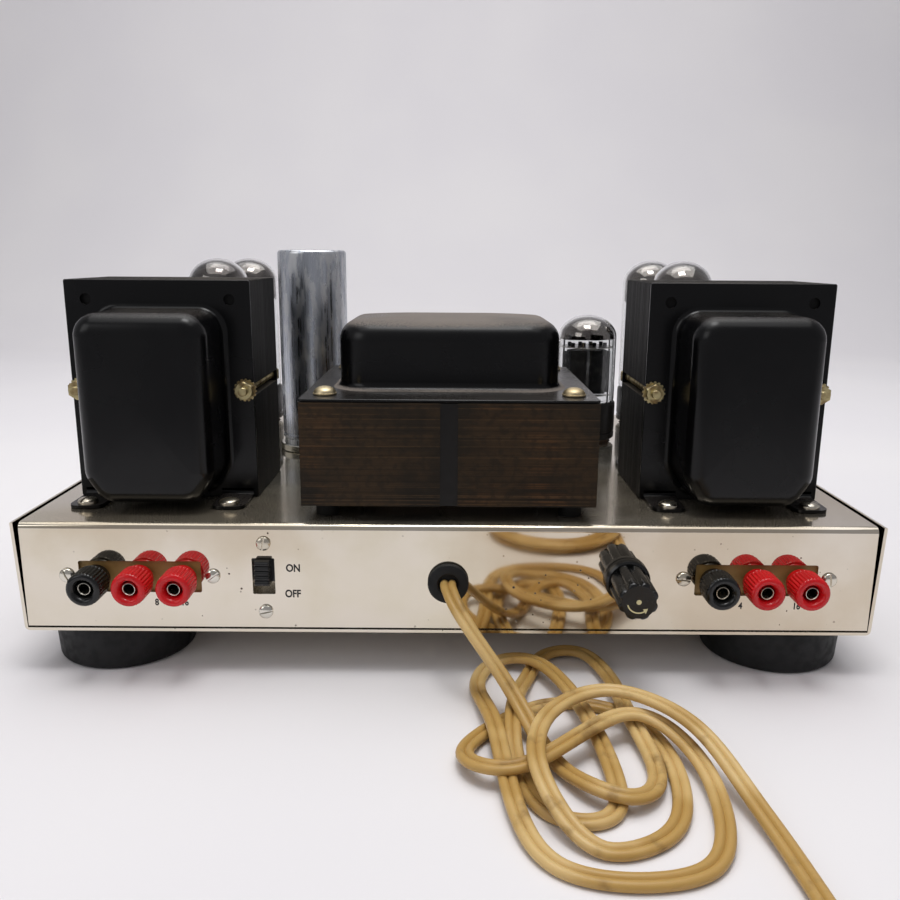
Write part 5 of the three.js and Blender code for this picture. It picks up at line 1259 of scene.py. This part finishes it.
def post_cap():
    """Back section, step, fluted grip, front rim, recess and bore, as one closed profile."""
    flute = lambda angle, r, h: np.where((h > 5.2) & (h < 13) & (r > 6),
                                         -FLUTE_DEEP * (0.5 + 0.5 * np.cos(angle * FLUTES)) ** 1.5, 0)
    return turned([(3, -1), (4.5, -1), (4.5, 0.3), (5.2, 0.3), (5.4, 0.5), (5.4, 3.6), (5.7, 4.1), (6.5, 4.5),
                   (6.68, 4.9), (6.7, 5.3), (6.7, 6), (6.7, 9.5), (6.7, 12.3), (6.62, 12.8), (6.4, 13.3),
                   (6.05, 13.7), (5.6, 13.93), (5.1, 14), (4.6, 13.92), (4.15, 13.6), (3.75, 13.1),
                   (3.4, 12.4), (3.2, 11.6), (3, 10.8), (3, -1)], FLUTES * 8, flute)


def post_rod():
    """A tube with an eased front end and a collar behind the board."""
    return turned([(2, -8.9), (4.2, -8.9), (4.2, -7.5), (2.7, -7.5), (2.7, 11.2), (2.5, 11.9), (2.38, 12.35),
                   (2.2, 12.4), (2, 12.15), (2, -8.9)], 48)


for side, sign in SIDES:
    for rank, out in (("outer", 1), ("middle", 0), ("inner", -1)):
        name, place = f"{side}_{rank}", (sign * (TERMINALS_X + POST_SPACING * out), POST_Z)
        colour = black_plastic if name in ("left_outer", "right_inner") else red_plastic
        make(f"post_nut_{name}", [(out_of_panel(post_cap(), *place), colour)], f"post_cap_{name}")
        make(f"post_tube_{name}", [(out_of_panel(post_rod(), *place), nickel_small)], f"post_rod_{name}")

# %% [markdown]
# ## Mains switch
#
# A slider with five ridges looks out of a slot. Behind the panel its steel frame shows at the slot's lower
# end. The slider rides with its own body, and two screws hold the frame to the panel.

# %% Slider, frame and screws
SLIDER_LOW, SLIDER_HIGH, SLIDER_RIDGES = -2.7, 7.1, 5
SLIDER_FRONT, SLIDER_BACK, RIDGE_DEEP = -4, 2.5, 0.55
SWITCH_PLACE = (SWITCH_X, 0, SWITCH_Z)
BOARD_SCREW_X, BOARD_SCREW_Z = 28.4, -21.2


def slider():
    """A section in y and z: a smooth back, and a front line with rounded ridges, carried across x."""
    height = np.linspace(SLIDER_LOW, SLIDER_HIGH, 61)
    share = (height - SLIDER_LOW) / (SLIDER_HIGH - SLIDER_LOW) * SLIDER_RIDGES
    front = SLIDER_FRONT + RIDGE_DEEP * (0.5 + 0.5 * np.cos(share * 2 * pi)) ** 2
    back = [(SLIDER_BACK, SLIDER_HIGH), (SLIDER_BACK, SLIDER_LOW)]
    path = np.vstack([np.column_stack([front, height]), back])
    return shell([np.column_stack([np.full(len(path), x), path + [ease, 0]])
                  for x, ease in ((-2.9, 0.35), (-2.6, 0), (2.6, 0), (2.9, 0.35))])


shoe = block((-4.1, 1.5, SLIDER_LOW), (4.1, 6.5, SLIDER_HIGH), 0.1)
make("switch_slider", painted(black_plastic, slider(), shoe), "mains_switch_slider", SWITCH_PLACE)
slot_cutter = block((-4.4, 0, -7.4), (4.4, 7.1, 7.4), 0)
box_cutter = block((-6.3, 0, -12.6), (6.3, 4, 12.6), 0)
frame_box = carved(block((-6.2, 1.5, -12.5), (6.2, 13.5, 12.5), 0.4), [slot_cutter])
frame_plate = carved(block((-6.2, 1.5, -18), (6.2, 2.5, 18), 0.2), [box_cutter])
make("switch_frame", painted(steel_strip, frame_box, frame_plate), "mains_switch_frame", SWITCH_PLACE)
panel_screws = [(sign * TERMINALS_X + s * BOARD_SCREW_X, BOARD_SCREW_Z, 2.85, 15 + 50 * s + 30 * sign)
                for _, sign in SIDES for _, s in SIDES]
panel_screws += [(-71.5, -7.7, 2.8, 80), (-71.5, -35.8, 2.8, 12)]
make("panel_screws", [(out_of_panel(screw_head(radius, 1.7, turn, 0.7), x, z), nickel_small)
                      for x, z, radius, turn in panel_screws], body="amplifier")

# %% [markdown]
# ## Fuse holder
#
# A moulded bayonet cap with eight lobes in a round collar. A dot and a curved arrow are printed on its face
# to show which way it opens. The arrow is a flat band along an arc that ends in a triangle.

# %% Collar, cap and the mark on it
CAP_FACE, MARK_FACE, LOBE_ROOT, LOBE_DEEP = 22.6, 22.62, 6.5, 1.25


def lobes(angle, radius, height):
    """Eight hollows: the radius drops where the cosine of eight times the angle is near one."""
    return np.where(radius > LOBE_ROOT, -LOBE_DEEP * (0.5 + 0.5 * np.cos(angle * 8)) ** 2.5, 0)


def arrow_mark(radius, start, end, wide=0.5, point=24, barb=1.1):
    """A band between two arcs, then a triangle whose point lies further along the circle."""
    outer = arc((0, 0), radius + wide / 2, start, end, 20)
    inner = arc((0, 0), radius - wide / 2, end, start, 20)
    tip = radius * np.array([cos(radians(end + point)), sin(radians(end + point))])
    out = np.array([cos(radians(end)), sin(radians(end))])
    outline = np.vstack([outer, [(radius + barb) * out, tip, (radius - barb) * out], inner])
    return prism(outline, CAP_FACE - 0.1, MARK_FACE)


fuse_cap = turned([(0, -5), (5, -5), (5, 4.2), (7.3, 4.2), (7.65, 4.6), (7.65, 8), (7.6, 14), (7.5, 21.4),
                   (7.3, 22), (6.9, 22.4), (6.4, CAP_FACE), (6, CAP_FACE), (0, CAP_FACE)], 160, lobes)
marks = [cylinder(0.95, CAP_FACE - 0.2, MARK_FACE, 24), arrow_mark(4.2, 195, 300)]
cap_parts = painted(black_plastic, fuse_cap) + painted(cream, *marks)
make("fuse_cap_lobed", each(out_of_panel, cap_parts, FUSE_X, FUSE_Z), "fuse_cap")
collar = turned([(5.3, 3.9), (7.7, 3.9), (8.5, 3.3), (8.8, 2.5), (8.8, 0.3), (6.4, 0.3), (6.4, -32.5),
                 (5.3, -32.5), (5.3, 3.9)], 96)
fuse_nut = turned([(6.5, -5.5), (8.6, -5.5), (9, -5.1), (9, -1.9), (8.6, -1.5), (6.5, -1.5), (6.5, -5.5)], 48)
make("fuse_collar", each(out_of_panel, [(collar, black_plastic), (fuse_nut, nickel_small)], FUSE_X, FUSE_Z),
     "fuse_holder")

# %% [markdown]
# ## Bushing and jacks
#
# The lead leaves through a rubber bushing with a lip. On the far side two phono jacks stand out, each a
# plated shell round a white insulator.

# %% Bushing and input jacks
bushing = turned([(0, 1), (3.4, 1), (3.7, 1.4), (3.9, 2.3), (4.4, 2.75), (5.2, 2.8), (6.9, 2.8), (7.7, 2.45),
                  (8, 1.7), (7.9, 0.3), (6.2, 0.3), (6.2, -1.5), (7.4, -1.5), (7.4, -3.9), (0, -3.9)], 72)
make("rubber_bushing", [(out_of_panel(bushing, 0, BUSHING_Z), rubber)], "cord_bushing")

jack = [(turned([(3.2, -5), (6, -5), (6, -3.6), (4.2, -3.2), (4.2, 8.9), (4, 9.3), (3.6, 9.4), (3.3, 9.1),
                 (3.2, 8.6), (3.2, -5)], 56), nickel_small),
        (turned([(1.7, 1.4), (1.7, 8.4), (3.2, 8.4), (3.2, -4), (0, -4), (0, 1.4), (1.7, 1.4)], 40),
         white_plastic),
        (turned([(4.3, 0.05), (6.2, 0.05), (6.2, 0.9), (5.6, 1.3), (4.3, 1.3), (4.3, 0.05)], 40), red_plastic)]
jack_parts = each(moved, jack, -JACK_X) + each(moved, jack, JACK_X)
jack_parts += painted(phenolic, prism(round_box(29, -9.5, 9.5, 2), -3.1, -1.5, 0.1))
make("input_jack_pair", each(laid, jack_parts, (0, 2, 1), (-1, 1, 1)), "input_jacks", (0, DEPTH, JACK_Z))

# %% [markdown]
# ## Small parts on the driver board
#
# Resistors and film capacitors stand between the driver tubes. They only add to the board, which keeps its
# CAD mesh and gets a finish. A resistor is a turned barrel with swollen ends on a wire.

# %% Resistors and capacitors
BOARD_TOP, BOARD_Y = 4.9, 205
RESISTOR_PLACES = [(x, y) for x in (-21, 0, 21) for y in (-20, -14, 15, 21)]
CAPACITOR_PLACES = ((-8, -4), (8, -4), (-8, 6), (8, 6))


def resistor(length=9, radius=1.6):
    """A barrel along x that swells at both ends: radius times 0.9 plus a part of the cosine along it."""
    s = np.linspace(-1, 1, 21)
    barrel = np.column_stack([radius * (0.9 + 0.12 * np.cos(s * 2 * pi)), s * length / 2])
    body = turned(np.vstack([[(0, -length / 2)], barrel, [(0, length / 2)]]), 20)
    wire = cylinder(0.3, -length, length, 8)
    return each(laid, [(body, part_brown), (wire, nickel_small)], (2, 1, 0), (1, -1, 1))


capacitor = [(prism(round_box(7.5, -2.75, 2.75, 1.8), 0, 9, 0.7), part_ochre)]
board_parts = []
for x, y in RESISTOR_PLACES:
    board_parts += each(moved, resistor(), x, BOARD_Y + y, BOARD_TOP + 2)
for x, y in CAPACITOR_PLACES:
    board_parts += each(moved, capacitor, x, BOARD_Y + y, BOARD_TOP)
make("driver_board_parts", board_parts, body="amplifier")

# %% [markdown]
# ## Print on the panel, and the CAD pieces that stay
#
# Only plain words and numbers: ON and OFF beside the slider, and the loads in ohms under the posts. Text is
# made a mesh first, with a small thickness, and laid on the panel as the rest is. Coils, boards and the fuse
# keep their CAD meshes, because they hardly show, and get finishes.

# %% Lettering and finishes for the CAD pieces
def lettering(words, size, x, z, thick=0.05, narrow=0.82, bold=0.045, cap_share=0.7):
    """Text made a mesh, scaled to a cap height in millimetres and centred on a place of the panel."""
    curve = bpy.data.curves.new("words", "FONT")
    curve.body = words
    curve.align_x = "CENTER"
    curve.size = size / cap_share
    curve.extrude = thick
    curve.offset = bold * size
    curve.resolution_u = 6
    text = linked("words", curve)
    shape = shape_of(text)
    bpy.data.objects.remove(text)
    bpy.data.curves.remove(curve)
    return out_of_panel(moved(laid(shape, signs=(narrow, 1, 1)), y=-size / 2), x, z)


words = [lettering("ON", 3, -60.3, -17.7), lettering("OFF", 3, -60.7, -28.3)]
words += [lettering(load, 2.6, sign * TERMINALS_X + offset, -32.2)
          for _, sign in SIDES for load, offset in (("4", -5.3), ("8", 5.8), ("16", 16.7))]
make("panel_print", painted(ink, *words), body="amplifier")
CAD_FINISHES = {"power_coil": winding_and_painted_shade, "output_coil_left": winding_and_painted_shade, "output_coil_right": winding_and_painted_shade,
                "socket_board_left": socket_brown, "socket_board_right": socket_brown,
                "terminal_board_left": phenolic, "terminal_board_right": phenolic,
                "driver_board": green_board, "fuse": fuse_glass}
for name, finish in CAD_FINISHES.items():
    materials = frame["nodes"][name].data.materials
    materials.clear()
    materials.append(finish.material)
print("CAD pieces dressed:", len(CAD_FINISHES))

# %% [markdown]
# ## Bench, backdrop and light
#
# The amplifier stands on a pale bench that curves up into the backdrop. One surface does both: a profile of
# floor, quarter circle and wall, carried across. The world gives soft light from everywhere. A wide soft lamp
# and a smaller key above shape the glossy parts, one from the left fills, and one lights the backdrop.

# %% Bench, backdrop, world and lamps
FLOOR_NEAR, FLOOR_FAR, FLOOR_BEND, WALL_TOP, FLOOR_HALF, FLOOR_COLUMNS = -0.5, 1, 0.7, 3, 2.6, 9
SKY_COLOR, SKY_STRENGTH = (0.97, 0.96, 1, 1), 0.32


def sweep_backdrop():
    """A profile in y and z, floor, quarter circle and wall, in metres, repeated at columns along x."""
    a = np.linspace(0, pi / 2, 17)
    bend = np.column_stack([FLOOR_FAR + FLOOR_BEND * np.sin(a), FLOOR_BEND * (1 - np.cos(a))])
    line = np.vstack([[(FLOOR_NEAR, 0)], bend, [(FLOOR_FAR + FLOOR_BEND, WALL_TOP)]])
    places = np.linspace(-FLOOR_HALF, FLOOR_HALF, FLOOR_COLUMNS)
    grid = np.stack([np.column_stack([places, np.full((FLOOR_COLUMNS, 2), point)]) for point in line])
    number = np.arange(len(line) * FLOOR_COLUMNS).reshape(len(line), FLOOR_COLUMNS)
    faces = np.stack([number[:-1, :-1], number[:-1, 1:], number[1:, 1:], number[1:, :-1]], -1)
    return grid.reshape(-1, 3), faces.reshape(-1, 4).tolist()


def soft_lamp(name, place, aim, size, power):
    """A square lamp at a place in metres that looks at another place."""
    lamp = bpy.data.lights.new(name, "AREA")
    lamp.size = size
    lamp.energy = power
    obj = linked(name, lamp)
    obj.location = place
    obj.rotation_euler = (Vector(aim) - Vector(place)).to_track_quat("-Z", "Y").to_euler()


paper = Finish("pale_backdrop", (0.79, 0.77, 0.79), 0.8).toward((0.82, 0.80, 0.81), (3, 2, 0.35, 0.7))
backdrop_mesh = bpy.data.meshes.new("backdrop")
backdrop_points, backdrop_faces = sweep_backdrop()
backdrop_mesh.from_pydata(backdrop_points, [], backdrop_faces)
backdrop_mesh.shade_smooth()
backdrop_mesh.materials.append(paper.material)
backdrop = linked("backdrop", backdrop_mesh)

world = bpy.data.worlds.new("soft_world")
bpy.context.scene.world = world
world.use_nodes = True
sky = world.node_tree.nodes["Background"].inputs
sky["Color"].default_value = SKY_COLOR
sky["Strength"].default_value = SKY_STRENGTH
soft_lamp("overhead", (0, 0.05, 1.45), (0, 0, 0.05), 1.8, 11.5)
soft_lamp("key", (0, -0.2, 1.15), (0, 0, 0.06), 0.36, 3.8)
soft_lamp("front_left", (-1.3, -1.2, 0.9), (0, 0, 0.06), 0.9, 4)
soft_lamp("on_the_backdrop", (0, 0.5, 1.7), (0, 1.6, 0.5), 1.2, 7.5)
bpy.context.scene.view_settings.view_transform = "Standard"
print("lamps", len(bpy.data.lights))
